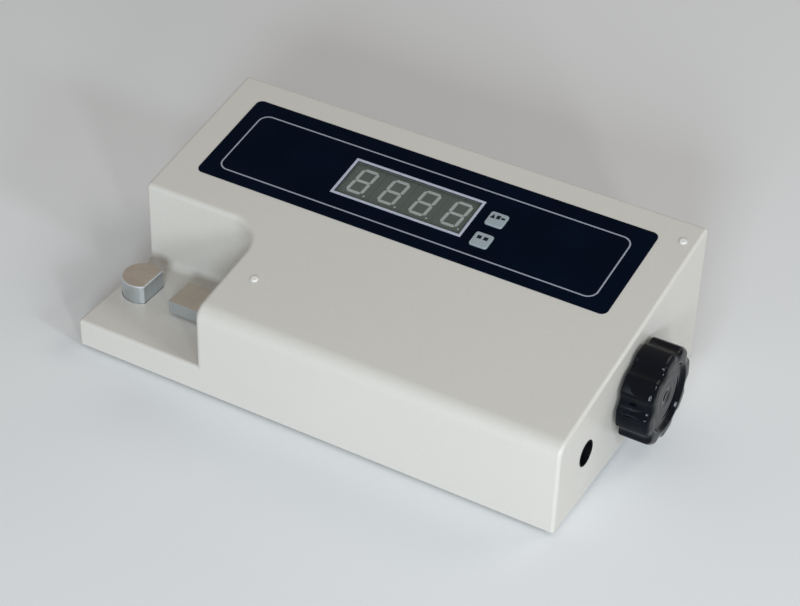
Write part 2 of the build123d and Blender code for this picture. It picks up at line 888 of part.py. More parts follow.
def make_block(x, thickness, pocket_x):
    """A bearing block on the bed: a pocket for the bearing, a through hole for the shaft, two seats
    for the guide rods with a grub screw over each, and two tapped holes underneath."""
    with BuildPart() as block:
        with BuildSketch(along_x(x, screw_y, bed_top)):
            with Locations((0, block_height / 2)):
                Rectangle(block_width, block_height)
        extrude(amount=thickness)
        chamfer(block.edges().filter_by(Axis.X).group_by(Axis.Z)[-1], block_chamfer)
        with BuildSketch(along_x(x, 0, screw_z)):
            with Locations((screw_y, 0)):
                Circle(outer_ring_bore)
            with Locations(*[(y, 0) for y in rod_y]):
                Circle(rod_radius + seat_gap)
        extrude(amount=thickness, mode=Mode.SUBTRACT)
        with BuildSketch(along_x(pocket_x, screw_y, screw_z)):
            Circle(bearing_radius + seat_gap)
        extrude(amount=bearing_width, mode=Mode.SUBTRACT)
        with Locations(*[(x + thickness / 2, y, block_top) for y in rod_y]):
            Cylinder(
                rod_grub_radius + thread_gap,
                block_top - screw_z - rod_radius,
                align=align_down,
                mode=Mode.SUBTRACT,
            )
        bottom_holes = [(x + thickness / 2, screw_y + sy * block_screw_offset, bed_top) for sy in (-1, 1)]
        with Locations(*bottom_holes):
            Cylinder(block_screw_radius + thread_gap, block_screw_bite, align=align_up, mode=Mode.SUBTRACT)
    return block


left_bearing_block = make_block(left_block_x, left_block_thickness, left_pocket_x)
right_bearing_block = make_block(right_block_x, right_block_thickness, right_pocket_x)

block_screw = make_screw(
    block_screw_radius,
    bed_top - head_seat + block_screw_bite - end_gap,
    block_screw_head_radius,
    block_screw_head,
)
with BuildPart() as block_screws:
    with Locations(*[Plane(origin=(x, y, head_seat), z_dir=(0, 0, -1)) for x, y in block_screw_places]):
        add(block_screw)

rod_grub = make_grub(rod_grub_radius, block_top - screw_z - rod_radius)
with BuildPart() as rod_grub_screws:
    with Locations(
        *[
            (x + thickness / 2, y, block_top)
            for x, thickness in block_places.values()
            for y in rod_y
        ]
    ):
        add(rod_grub)

rod_length = right_block_x + right_block_thickness - left_block_x
with BuildPart() as guide_rods:
    with BuildSketch(along_x(left_block_x, 0, screw_z)):
        with Locations(*[(y, 0) for y in rod_y]):
            Circle(rod_radius)
    extrude(amount=rod_length)
    chamfer(guide_rods.edges(), edge_chamfer)

ball_circle = (inner_ring_radius + outer_ring_bore) / 2
groove_radius = ball_radius + running_gap


def make_ring(inner, outer):
    """A bearing ring about the X axis from x = 0, with the balls' groove."""
    with BuildPart() as ring:
        with BuildSketch(Plane.XY):
            with Locations((bearing_width / 2, (inner + outer) / 2)):
                Rectangle(bearing_width, outer - inner)
            with Locations((bearing_width / 2, ball_circle)):
                Circle(groove_radius, mode=Mode.SUBTRACT)
        revolve(axis=Axis.X)
    return ring.part


outer_ring = make_ring(outer_ring_bore, bearing_radius)
inner_ring = make_ring(journal_radius + seat_gap, inner_ring_radius)
bearing_places = [Location((x, screw_y, screw_z)) for x in (left_pocket_x, right_pocket_x)]

with BuildPart() as bearing_outer_rings:
    with Locations(*bearing_places):
        add(outer_ring)
    for x in (left_pocket_x, right_pocket_x):
        with Locations(Plane(origin=(x + bearing_width / 2, screw_y, screw_z), z_dir=(1, 0, 0))):
            with PolarLocations(ball_circle, ball_count):
                Sphere(ball_radius)

with BuildPart() as bearing_inner_rings:
    with Locations(*bearing_places):
        add(inner_ring)

screw_left = left_block_face + end_gap
shaft_left = left_block_x - end_gap
shaft_right = handwheel_x + insert_length
collar_x = right_block_x + right_block_thickness + end_gap
with BuildPart() as lead_screw:
    with BuildSketch(along_x(screw_left, screw_y, screw_z)):
        Circle(screw_radius)
    extrude(amount=right_block_x - screw_left)
    chamfer(lead_screw.edges(), screw_chamfer)
    with BuildSketch(along_x(shaft_left, screw_y, screw_z)):
        Circle(journal_radius)
    extrude(amount=shaft_right - shaft_left)

# The collar's nose reaches through the right block to the bearing, and holds the screw endways.
nose_x = right_pocket_x + bearing_width
with BuildPart() as shaft_collar:
    with BuildSketch(along_x(nose_x, screw_y, screw_z)):
        Circle(collar_nose_radius)
    extrude(amount=collar_x - nose_x)
    with BuildSketch(along_x(collar_x, screw_y, screw_z)):
        Circle(collar_radius)
    extrude(amount=collar_width)
    with BuildSketch(along_x(nose_x, screw_y, screw_z)):
        Circle(journal_radius + seat_gap)
    extrude(amount=collar_x - nose_x + collar_width, mode=Mode.SUBTRACT)
    with Locations((collar_x + collar_width / 2, screw_y, screw_z + journal_radius)):
        Cylinder(shaft_grub_radius + thread_gap, collar_radius, align=align_up, mode=Mode.SUBTRACT)

with BuildPart() as shaft_bush:
    with BuildSketch(along_x(right_x - case_wall, screw_y, screw_z)):
        Circle(wall_bush_radius)
    extrude(amount=case_wall)
    with BuildSketch(along_x(right_x, screw_y, screw_z)):
        Circle(wall_bush_flange_radius)
    extrude(amount=wall_bush_flange)
    with BuildSketch(along_x(right_x - case_wall, screw_y, screw_z)):
        Circle(journal_radius + running_gap)
    extrude(amount=case_wall + wall_bush_flange, mode=Mode.SUBTRACT)

carriage_middle_z = carriage_bottom + carriage_height / 2
nut_bolts = [
    (
        nut_screw_circle * cos(radians(nut_screw_angle + 360 / nut_screw_count * i)),
        nut_screw_circle * sin(radians(nut_screw_angle + 360 / nut_screw_count * i)),
    )
    for i in range(nut_screw_count)
]
bush_radius = rod_radius + linear_bush_wall
with BuildPart() as carriage:
    with BuildSketch(along_x(carriage_x, screw_y, carriage_middle_z)):
        Rectangle(carriage_width, carriage_height)
    extrude(amount=carriage_length)
    chamfer(carriage.edges().filter_by(Axis.X), carriage_chamfer)
    pad_width = cell_hole_pitch + cell_hole_inset * 2
    with BuildSketch(along_x(carriage_x, cell_end_y, jaw_z)):
        Rectangle(pad_width, cell_side)
    extrude(amount=-cell_pad)
    with BuildSketch(along_x(carriage_x, 0, screw_z)):
        with Locations((screw_y, 0)):
            Circle(nut_radius + seat_gap)
        with Locations(*[(y, 0) for y in rod_y]):
            Circle(bush_radius + seat_gap)
    extrude(amount=carriage_length, mode=Mode.SUBTRACT)
    with BuildSketch(along_x(pad_x, 0, jaw_z)):
        with Locations(*[(y, 0) for y in fixed_hole_y]):
            Circle(cell_fixed_screw_radius + thread_gap)
    extrude(amount=cell_pad + cell_screw_bite + end_gap, mode=Mode.SUBTRACT)
    with BuildSketch(along_x(carriage_right, screw_y, screw_z)):
        with Locations(*nut_bolts):
            Circle(nut_screw_radius + thread_gap)
    extrude(amount=-nut_screw_bite - end_gap, mode=Mode.SUBTRACT)

with BuildPart() as linear_bushes:
    for x in (carriage_x, carriage_right - linear_bush_length):
        with BuildSketch(along_x(x, 0, screw_z)):
            with Locations(*[(y, 0) for y in rod_y]):
                Circle(bush_radius)
                Circle(rod_radius + running_gap, mode=Mode.SUBTRACT)
        extrude(amount=linear_bush_length)

with BuildPart() as lead_nut:
    with BuildSketch(along_x(carriage_right, screw_y, screw_z)):
        Circle(nut_radius)
    extrude(amount=-nut_length)
    with BuildSketch(along_x(carriage_right, screw_y, screw_z)):
        Circle(nut_flange_radius)
        with Locations(*nut_bolts):
            Circle(nut_screw_radius + fit_gap / 2, mode=Mode.SUBTRACT)
    extrude(amount=nut_flange)
    with BuildSketch(along_x(carriage_right - nut_length, screw_y, screw_z)):
        Circle(screw_radius + running_gap)
    extrude(amount=nut_length + nut_flange, mode=Mode.SUBTRACT)

nut_screw = make_screw(
    nut_screw_radius, nut_flange + nut_screw_bite, nut_screw_head_radius, nut_screw_head
)
with BuildPart() as nut_screws:
    with Locations(
        *[
            Plane(origin=(carriage_right + nut_flange, screw_y + y, screw_z + z), z_dir=(1, 0, 0))
            for y, z in nut_bolts
        ]
    ):
        add(nut_screw)

# ---------------------------------------------------------------------------------------------
# Handwheel: a lobed knob with a metal insert
# ---------------------------------------------------------------------------------------------

handwheel_face = handwheel_x + handwheel_depth
flute_centre = handwheel_radius - flute_depth + flute_radius
# The knob's set screw is reached through a hole in one of the flutes.
grub_angle = lobe_angle - 360 / lobe_count * 2
grub_turn = radians(grub_angle)
grub_x = handwheel_x + insert_length / 2
grub_axis = Location((grub_x, screw_y, screw_z), (grub_angle - 90, 0, 0))
grub_top = Location(
    (grub_x, screw_y + insert_radius * cos(grub_turn), screw_z + insert_radius * sin(grub_turn)),
    (grub_angle - 90, 0, 0),
)
with BuildPart() as handwheel:
    with BuildSketch(along_x(handwheel_x, screw_y, screw_z)):
        Circle(handwheel_radius)
        with PolarLocations(flute_centre, lobe_count, start_angle=lobe_angle):
            Circle(flute_radius, mode=Mode.SUBTRACT)
        fillet(vertices(), flute_corner_radius)
    extrude(amount=handwheel_depth)
    fillet(handwheel.edges().group_by(Axis.X)[-1], handwheel_bevel)
    fillet(handwheel.edges().group_by(Axis.X)[0], handwheel_back_bevel)
    with BuildSketch(along_x(handwheel_face, screw_y, screw_z)):
        Circle(handwheel_dish_radius)
    extrude(amount=-handwheel_dish, mode=Mode.SUBTRACT)
    rim = handwheel.edges().filter_by(GeomType.CIRCLE).filter_by(
        lambda edge: abs(edge.radius - handwheel_dish_radius) < end_gap
    )
    fillet(rim, dish_round)
    with BuildSketch(along_x(handwheel_x, screw_y, screw_z)):
        Circle(insert_radius + seat_gap)
    extrude(amount=insert_length + end_gap, mode=Mode.SUBTRACT)
    with Locations(grub_axis):
        Cylinder(shaft_grub_radius + fit_gap, handwheel_radius, align=align_up, mode=Mode.SUBTRACT)

with BuildPart() as handwheel_insert:
    with BuildSketch(along_x(handwheel_x, screw_y, screw_z)):
        Circle(insert_radius)
        Circle(journal_radius + seat_gap, mode=Mode.SUBTRACT)
    extrude(amount=insert_length)
    with Locations(grub_axis):
        Cylinder(shaft_grub_radius + thread_gap, handwheel_radius, align=align_up, mode=Mode.SUBTRACT)

shaft_grub = make_grub(shaft_grub_radius, insert_radius - journal_radius - end_gap)
with BuildPart() as shaft_grub_screws:
    with Locations((collar_x + collar_width / 2, screw_y, screw_z + insert_radius)):
        add(shaft_grub)
    with Locations(grub_top):
        add(shaft_grub)

# ---------------------------------------------------------------------------------------------
# Label panel, display and keys, all on the slope
# ---------------------------------------------------------------------------------------------

with BuildPart() as panel_overlay:
    with BuildSketch(slope_plane):
        with Locations((panel_x, panel_s)):
            RectangleRounded(panel_length, panel_depth, panel_radius)
        with Locations((display_x, display_s)):
            Rectangle(display_length, module_depth, mode=Mode.SUBTRACT)
        with Locations(*key_places.values()):
            RectangleRounded(
                key_width + fit_gap * 2, key_depth + fit_gap * 2, key_radius + fit_gap, mode=Mode.SUBTRACT
            )
    extrude(amount=panel_thickness)

with BuildPart() as display_frame:
    with BuildSketch(slope_plane.offset(panel_thickness)):
        with Locations((display_x, display_s)):
            Rectangle(display_length + display_line * 2, module_depth + display_line * 2)
            Rectangle(display_length, module_depth, mode=Mode.SUBTRACT)
    extrude(amount=display_line_height)

with BuildPart() as display_window:
    with BuildSketch(slope_plane):
        with Locations((display_x, display_s)):
            Rectangle(*window_size)
    extrude(amount=-window_thickness)

module_pitch = module_width + module_gap
module_x = [display_x + (i - (module_count - 1) / 2) * module_pitch for i in range(module_count)]
digit_modules = []
for x in module_x:
    with BuildPart() as digit_module:
        with BuildSketch(slope_plane.offset(module_top)):
            with Locations((x, display_s)):
                Rectangle(module_width, module_depth)
        extrude(amount=-module_height)
    digit_modules.append(digit_module)


def segment_bars():
    """The seven bars of a digit about its own centre, before the slant: centre, length and turn."""
    span = digit_width - segment_gap
    half = digit_height / 2 - segment_gap
    across = [(0, step * digit_height / 2, span, 0) for step in (-1, 0, 1)]
    upright = [(sx * digit_width / 2, sy * digit_height / 4, half, 90) for sx in (-1, 1) for sy in (-1, 1)]
    return across + upright


def segment_outline(x, y, length, turn):
    """The six corners of one bar with pointed ends, slanted with its digit."""
    tip, flat, half = length / 2, (length - segment_width) / 2, segment_width / 2
    corners = [(-tip, 0), (-flat, half), (flat, half), (tip, 0), (flat, -half), (-flat, -half)]
    lean = tan(radians(digit_slant))
    turned = [(x + a, y + b) if turn == 0 else (x - b, y + a) for a, b in corners]
    return [(a + b * lean, b) for a, b in turned]


with BuildPart() as digit_segments:
    for x in module_x:
        with BuildSketch(slope_plane.offset(module_top)):
            with Locations((x + digit_shift, display_s + digit_rise)):
                for bar in segment_bars():
                    Polygon(*segment_outline(*bar), align=None)
                with Locations((point_shift_x, -digit_height / 2)):
                    Circle(point_radius)
        extrude(amount=segment_height)

with BuildPart() as display_board:
    with BuildSketch(slope_plane.offset(board_top)):
        with Locations((board_x, display_s)):
            RectangleRounded(display_board_length, display_board_depth, board_corner)
        with Locations(*board_places):
            Circle(m3_radius + fit_gap, mode=Mode.SUBTRACT)
    extrude(amount=-board_thickness)

switch_top = board_top + switch_height
stem_bottom = switch_top - stem_reach
flange_top = -case_wall - end_gap
with BuildPart() as key_switches:
    with BuildSketch(slope_plane.offset(board_top)):
        with Locations(*key_places.values()):
            Rectangle(switch_side, switch_side)
    extrude(amount=switch_height)
    with BuildSketch(slope_plane.offset(switch_top)):
        with Locations(*key_places.values()):
            Circle(key_stem_radius + fit_gap)
    extrude(amount=-stem_reach - key_travel - end_gap, mode=Mode.SUBTRACT)


def make_key(place):
    """A square key cap that stands through the panel, kept in by a flange under the casing, with a
    stem that reaches into its switch."""
    with BuildPart() as key:
        with BuildSketch(slope_plane.offset(flange_top)):
            with Locations(place):
                RectangleRounded(key_width, key_depth, key_radius)
        extrude(amount=panel_thickness + key_proud - flange_top)
        fillet(key.edges().group_by(Axis(slope_plane.origin, slope_plane.z_dir))[-1], key_edge_radius)
        with BuildSketch(slope_plane.offset(flange_top)):
            with Locations(place):
                Rectangle(key_width + key_flange * 2, key_depth + key_flange * 2)
        extrude(amount=-key_flange_height)
        with BuildSketch(slope_plane.offset(flange_top - key_flange_height)):
            with Locations(place):
                Circle(key_stem_radius)
        extrude(amount=stem_bottom - flange_top + key_flange_height)
    return key


upper_key = make_key(key_places["upper_key"])
lower_key = make_key(key_places["lower_key"])

# ---------------------------------------------------------------------------------------------
# Transformer and main board, on the base plate
# ---------------------------------------------------------------------------------------------

window_width = (core_length - core_leg * 4) / 2
leg_offset = core_leg + window_width / 2


def core_plane(depth):
    """An upright plane across the transformer that faces +Y, half of a depth behind its middle."""
    return Plane(
        origin=(transformer_x, transformer_y + depth / 2, plate_top), x_dir=(-1, 0, 0), z_dir=(0, 1, 0)
    )


with BuildPart() as transformer_core:
    with BuildSketch(core_plane(core_stack)):
        with Locations((0, core_height / 2)):
            Rectangle(core_length, core_height)
            with Locations((-leg_offset, 0), (leg_offset, 0)):
                Rectangle(window_width, core_height - core_leg * 2, mode=Mode.SUBTRACT)
    extrude(amount=-core_stack)

winding_length = (core_leg + window_width - winding_gap) * 2
winding_depth = core_stack + winding_overhang * 2
winding_height = core_height - core_leg * 2 - winding_gap * 2
with BuildPart() as transformer_winding:
    with BuildSketch(Plane.XY.offset(plate_top + core_leg + winding_gap)):
        with Locations((transformer_x, transformer_y)):
            RectangleRounded(winding_length, winding_depth, winding_overhang / 2)
            Rectangle((core_leg + winding_gap) * 2, core_stack + winding_gap * 2, mode=Mode.SUBTRACT)
    extrude(amount=winding_height)

with BuildPart() as transformer_strap:
    with BuildSketch(core_plane(strap_width)):
        with BuildLine():
            Polyline(
                (-strap_half - strap_thickness - strap_ear, 0),
                (-strap_half - strap_thickness - strap_ear, strap_thickness),
                (-strap_half - strap_thickness, strap_thickness),
                (-strap_half - strap_thickness, core_height + seat_gap + strap_thickness),
                (strap_half + strap_thickness, core_height + seat_gap + strap_thickness),
                (strap_half + strap_thickness, strap_thickness),
                (strap_half + strap_thickness + strap_ear, strap_thickness),
                (strap_half + strap_thickness + strap_ear, 0),
                (strap_half, 0),
                (strap_half, core_height + seat_gap),
                (-strap_half, core_height + seat_gap),
                (-strap_half, 0),
                close=True,
            )
        make_face()
    extrude(amount=-strap_width)
    with Locations(*[(x, y, plate_top) for x, y in transformer_ears]):
        Cylinder(m3_radius + fit_gap, strap_thickness, align=align_up, mode=Mode.SUBTRACT)

main_board_bottom = plate_top + spacer_height
main_board_top = main_board_bottom + board_thickness
with BuildPart() as main_board:
    with BuildSketch(Plane.XY.offset(main_board_bottom)):
        with Locations((main_board_x, main_board_y)):
            Rectangle(main_board_length, main_board_width)
        with Locations(*spacer_places):
            Circle(m3_radius + fit_gap, mode=Mode.SUBTRACT)
    extrude(amount=board_thickness)

with BuildPart() as board_spacers:
    with BuildSketch(Plane.XY.offset(plate_top)):
        with Locations(*spacer_places):
            RegularPolygon(radius=spacer_radius, side_count=6)
            Circle(m3_radius + fit_gap / 2, mode=Mode.SUBTRACT)
    extrude(amount=spacer_height)

chip_x = main_board_x - main_board_length / 2 + chip_length / 2 + chip_inset
with BuildPart() as microcontroller:
    with BuildSketch(Plane.XY.offset(main_board_top)):
        with Locations((chip_x, main_board_front + chip_front_inset + chip_width / 2)):
            Rectangle(chip_length, chip_width)
    extrude(amount=chip_height)
    chamfer(microcontroller.edges().group_by(Axis.Z)[-1], small_round)

capacitor_end = main_board_x + main_board_length / 2 - capacitor_inset
capacitor_x = capacitor_end - capacitor_radius - capacitor_spacing / 2
with BuildPart() as capacitors:
    with Locations((capacitor_x, main_board_y, main_board_top)):
        with GridLocations(capacitor_spacing, 0, 2, 1):
            Cylinder(capacitor_radius, capacitor_height, align=align_up)
    fillet(capacitors.edges().group_by(Axis.Z)[-1], small_round)

capacitor_start = capacitor_x - capacitor_spacing / 2 - capacitor_radius
heatsink_x = (chip_x + chip_length / 2 + capacitor_start) / 2
fin_pitch = (heatsink_length - fin_thickness) / (fin_count - 1)
with BuildPart() as heatsink:
    with BuildSketch(Plane.XY.offset(main_board_top)):
        with Locations((heatsink_x, main_board_y - heatsink_width / 2)):
            Rectangle(heatsink_length, heatsink_base)
        with Locations((heatsink_x, main_board_y)):
            with GridLocations(fin_pitch, 0, fin_count, 1):
                Rectangle(fin_thickness, heatsink_width)
    extrude(amount=heatsink_height)

# ---------------------------------------------------------------------------------------------
# Trimmer behind the round hole in the right end
# ---------------------------------------------------------------------------------------------

bracket_top = side_hole_z + trimmer_radius + bracket_cover
with BuildPart() as trimmer_bracket:
    with BuildSketch(along_x(bracket_x, side_hole_y, plate_top)):
        with Locations((0, (bracket_top - plate_top) / 2)):
            Rectangle(bracket_width, bracket_top - plate_top)
    extrude(amount=-bracket_thickness)
    with BuildSketch(Plane.XY.offset(plate_top)):
        with Locations((bracket_x - bracket_foot / 2, side_hole_y)):
            Rectangle(bracket_foot, bracket_width)
    extrude(amount=bracket_thickness)
    with BuildSketch(along_x(bracket_x, side_hole_y, side_hole_z)):
        Circle(trimmer_bush_radius + fit_gap)
    extrude(amount=-bracket_thickness, mode=Mode.SUBTRACT)
    with Locations(*[(x, y, plate_top) for x, y in bracket_screws]):
        Cylinder(m3_radius + fit_gap, bracket_thickness, align=align_up, mode=Mode.SUBTRACT)

trimmer_back = bracket_x - bracket_thickness
with BuildPart() as calibration_trimmer:
    with BuildSketch(along_x(trimmer_back, side_hole_y, side_hole_z)):
        Circle(trimmer_radius)
    extrude(amount=-trimmer_depth)
    with BuildSketch(along_x(trimmer_back, side_hole_y, side_hole_z)):
        Circle(trimmer_bush_radius)
    extrude(amount=trimmer_bush_length)
    spindle_x = trimmer_back + trimmer_bush_length
    with BuildSketch(along_x(spindle_x, side_hole_y, side_hole_z)):
        Circle(trimmer_spindle_radius)
    extrude(amount=trimmer_spindle_length)
    with BuildSketch(along_x(spindle_x + trimmer_spindle_length, side_hole_y, side_hole_z)):
        Rectangle((trimmer_spindle_radius + fit_gap) * 2, driver_slot)
    extrude(amount=-driver_slot_depth, mode=Mode.SUBTRACT)

# ---------------------------------------------------------------------------------------------
# Mains inlet, power switch and fuse holder, in the back wall
# ---------------------------------------------------------------------------------------------

inlet_plane = on_back(inlet_x, rear_z)
with BuildPart() as mains_inlet:
    with BuildSketch(inlet_plane):
        RectangleRounded(inlet_flange_length, inlet_flange_height, inlet_corner)
    extrude(amount=inlet_flange)
    with BuildSketch(inlet_plane):
        Rectangle(inlet_body_length, inlet_body_height)
    extrude(amount=-inlet_body_depth)
    with BuildSketch(inlet_plane.offset(inlet_flange)):
        Rectangle(socket_length, socket_height)
        chamfer(vertices().group_by(Axis.Y)[-1], socket_chamfer)
    extrude(amount=-socket_depth, mode=Mode.SUBTRACT)
    with BuildSketch(inlet_plane.offset(inlet_flange)):
        with Locations((-inlet_screw_pitch / 2, 0), (inlet_screw_pitch / 2, 0)):
            Circle(m3_radius + fit_gap)
    extrude(amount=-inlet_flange, mode=Mode.SUBTRACT)

with BuildPart() as inlet_pins:
    with BuildSketch(inlet_plane.offset(inlet_flange - socket_depth)):
        with Locations((-pin_pitch / 2, -earth_pin_lift / 2), (pin_pitch / 2, -earth_pin_lift / 2)):
            Rectangle(pin_thickness, pin_height)
        with Locations((0, earth_pin_lift / 2)):
            Rectangle(pin_thickness, pin_height)
    extrude(amount=pin_length)

switch_plane = on_back(switch_x, rear_z)
rocker_axis_y = back_y + switch_bezel - rocker_setback
rocker_room = rocker_height / 2 + fit_gap * 2
with BuildPart() as power_switch_housing:
    with BuildSketch(switch_plane):
        RectangleRounded(switch_bezel_width, switch_bezel_height, small_round * 2)
    extrude(amount=switch_bezel)
    fillet(power_switch_housing.edges().group_by(Axis.Y)[-1], small_round)
    with BuildSketch(switch_plane):
        Rectangle(switch_body_width, switch_body_height)
    extrude(amount=-switch_body_depth)
    with BuildSketch(switch_plane.offset(switch_bezel)):
        Rectangle(rocker_width + fit_gap * 2, rocker_room * 2)
    extrude(amount=-switch_bezel - rocker_height / 2, mode=Mode.SUBTRACT)
    with Locations(Location((switch_x, rocker_axis_y, rear_z), (0, 90, 0))):
        Cylinder(rocker_pin_radius + running_gap, switch_body_width, mode=Mode.SUBTRACT)

rocker_plane = Plane(
    origin=(switch_x - rocker_width / 2, rocker_axis_y, rear_z), x_dir=(0, 1, 0), z_dir=(1, 0, 0)
).rotated((-rocker_tilt, 0, 0))
with BuildPart() as power_switch_rocker:
    with BuildSketch(rocker_plane):
        with BuildLine():
            Polyline(
                (rocker_rise, -rocker_height / 2),
                (rocker_valley, 0),
                (rocker_rise, rocker_height / 2),
                (-rocker_skirt, rocker_height / 2 - rocker_taper),
                (-rocker_depth, rocker_foot),
                (-rocker_depth, -rocker_foot),
                (-rocker_skirt, -rocker_height / 2 + rocker_taper),
                close=True,
            )
        make_face()
    extrude(amount=rocker_width)
    with Locations(Location((switch_x, rocker_axis_y, rear_z), (0, 90, 0))):
        Cylinder(rocker_pin_radius, switch_body_width - end_gap)

fuse_plane = on_back(fuse_x, rear_z)
with BuildPart() as fuse_holder:
    with BuildSketch(fuse_plane):
        Circle(fuse_flange_radius)
    extrude(amount=fuse_flange)
    with BuildSketch(fuse_plane):
        Circle(fuse_body_radius)
    extrude(amount=-fuse_body_depth)

with BuildPart() as fuse_cap:
    with BuildSketch(fuse_plane.offset(fuse_flange)):
        Circle(fuse_cap_radius)
    extrude(amount=fuse_cap_length)
    fillet(fuse_cap.edges().group_by(Axis.Y)[-1], small_round)
    with BuildSketch(fuse_plane.offset(fuse_flange + fuse_cap_length)):
        Rectangle((fuse_cap_radius + fit_gap) * 2, driver_slot)
    extrude(amount=-driver_slot_depth, mode=Mode.SUBTRACT)

# ---------------------------------------------------------------------------------------------
# M3 screws: they hold the boards, the transformer, the trimmer's bracket and the mains inlet
# ---------------------------------------------------------------------------------------------


def m3_screw(length):
    """An M3 screw of a length, with its seat at z = 0."""
    return make_screw(m3_radius, length, m3_head_radius, m3_head)


display_board_bottom = board_top - board_thickness
display_screw_seats = [
    Plane(origin=slope_plane.from_local_coords((x, s, display_board_bottom)), z_dir=-slope_plane.z_dir)
    for x, s in board_places
]
inlet_screw_seats = [
    Plane(origin=(inlet_x + sx * inlet_screw_pitch / 2, back_y + inlet_flange, rear_z), z_dir=(0, 1, 0))
    for sx in (-1, 1)
]
with BuildPart() as m3_screws:
    with Locations(*[(x, y, main_board_top) for x, y in spacer_places]):
        add(m3_screw(board_thickness + spacer_height + plate_thickness - end_gap))
    with Locations(*display_screw_seats):
        add(m3_screw(board_thickness + m3_bite * 2))
    with Locations(*[(x, y, plate_top + strap_thickness) for x, y in transformer_ears]):
        add(m3_screw(strap_thickness + m3_bite))
    with Locations(*[(x, y, plate_top + bracket_thickness) for x, y in bracket_screws]):
        add(m3_screw(bracket_thickness + m3_bite))
    with Locations(*inlet_screw_seats):
        add(m3_screw(inlet_flange + case_wall + m3_bite))

# ---------------------------------------------------------------------------------------------
# Wiring
# ---------------------------------------------------------------------------------------------

ribbon_s = display_s + display_board_depth / 2 - ribbon_top_inset
ribbon_start = slope_plane.from_local_coords((ribbon_x, ribbon_s, display_board_bottom))
ribbon_below = slope_plane.from_local_coords((ribbon_x, ribbon_s, display_board_bottom - ribbon_tail))
ribbon_y = main_board_y + main_board_width / 2 - ribbon_low_inset
ribbon_middle_z = (ribbon_below.Z + main_board_top) / 2
winding_back = transformer_y + winding_depth / 2
winding_z = plate_top + core_height / 2
inlet_back = back_y - inlet_body_depth
switch_back = back_y - switch_body_depth
fuse_back = back_y - fuse_body_depth
wire_turn = wire_bend * 2
wire_paths = [
    # From the inlet to the switch.
    [
        (inlet_x + wire_spacing, inlet_back, rear_z),
        (inlet_x + wire_spacing, inlet_back - wire_turn, rear_z),
        (switch_x - wire_spacing / 2, inlet_back - wire_turn, rear_z),
        (switch_x - wire_spacing / 2, switch_back, rear_z),
    ],
    # From the switch to the fuse holder, over the wire that leaves it again.
    [
        (switch_x + wire_spacing / 2, switch_back, rear_z + wire_spacing),
        (switch_x + wire_spacing / 2, fuse_back - wire_turn, rear_z + wire_spacing),
        (fuse_x, fuse_back - wire_turn, rear_z + wire_spacing / 2),
        (fuse_x, fuse_back, rear_z + wire_spacing / 2),
    ],
    # From the fuse holder to the transformer.
    [
        (fuse_x, fuse_back, rear_z - wire_spacing / 2),
        (fuse_x, fuse_back - wire_turn * 2, rear_z - wire_spacing / 2),
        (transformer_x + wire_spacing, winding_back + wire_turn, winding_z),
        (transformer_x + wire_spacing, winding_back, winding_z),
    ],
    # From the inlet to the transformer.
    [
        (inlet_x - wire_spacing, inlet_back, rear_z),
        (inlet_x - wire_spacing, inlet_back - wire_turn, rear_z),
        (inlet_x - wire_spacing, winding_back + wire_turn, winding_z),
        (inlet_x - wire_spacing, winding_back, winding_z),
    ],
]
with BuildPart() as wiring:
    with BuildSketch(Plane.YZ.offset(ribbon_x - ribbon_width / 2)):
        with BuildLine():
            FilletPolyline(
                (ribbon_start.Y, ribbon_start.Z),
                (ribbon_below.Y, ribbon_below.Z),
                (ribbon_y + ribbon_slack, ribbon_middle_z),
                (ribbon_y, main_board_top + ribbon_tail),
                (ribbon_y, main_board_top),
                radius=ribbon_radius,
            )
        trace(line_width=ribbon_thickness)
    extrude(amount=ribbon_width)
    for path in wire_paths:
        with BuildLine() as route:
            FilletPolyline(*path, radius=wire_bend)
        with BuildSketch(Plane(origin=route.line @ 0, z_dir=route.line % 0)):
            Circle(wire_radius)
        sweep(path=route.line)

# ---------------------------------------------------------------------------------------------
# One file for each piece
# ---------------------------------------------------------------------------------------------

pieces = {
    "main_casing": main_casing,
    "hole_plugs": hole_plugs,
    "base_plate": base_plate,
    "base_plate_screws": base_plate_screws,
    "rubber_feet": rubber_feet,
    "foot_screws": foot_screws,
    "bed_plate": bed_plate,
    "bed_plate_screws": bed_plate_screws,
    "fixed_anvil": fixed_anvil,
    "anvil_screw": anvil_screw,
    "moving_jaw": moving_jaw,
    "load_cell": load_cell,
    "load_cell_screws": load_cell_screws,
    "left_bearing_block": left_bearing_block,
    "right_bearing_block": right_bearing_block,
    "block_screws": block_screws,
    "rod_grub_screws": rod_grub_screws,
    "guide_rods": guide_rods,
    "bearing_outer_rings": bearing_outer_rings,
    "bearing_inner_rings": bearing_inner_rings,
    "lead_screw": lead_screw,
    "shaft_collar": shaft_collar,
    "shaft_bush": shaft_bush,
    "carriage": carriage,
    "linear_bushes": linear_bushes,
    "lead_nut": lead_nut,
    "nut_screws": nut_screws,
    "handwheel": handwheel,
    "handwheel_insert": handwheel_insert,
    "shaft_grub_screws": shaft_grub_screws,
    "panel_overlay": panel_overlay,
    "display_frame": display_frame,
    "display_window": display_window,
    "digit_segments": digit_segments,
    "display_board": display_board,
    "key_switches": key_switches,
    "upper_key": upper_key,
    "lower_key": lower_key,
    "transformer_core": transformer_core,
    "transformer_winding": transformer_winding,
    "transformer_strap": transformer_strap,
    "main_board": main_board,
    "board_spacers": board_spacers,
    "microcontroller": microcontroller,
    "capacitors": capacitors,
    "heatsink": heatsink,
    "m3_screws": m3_screws,
    "trimmer_bracket": trimmer_bracket,
    "calibration_trimmer": calibration_trimmer,
    "mains_inlet": mains_inlet,
    "inlet_pins": inlet_pins,
    "power_switch_housing": power_switch_housing,
    "power_switch_rocker": power_switch_rocker,
    "fuse_holder": fuse_holder,
    "fuse_cap": fuse_cap,
    "wiring": wiring,
}
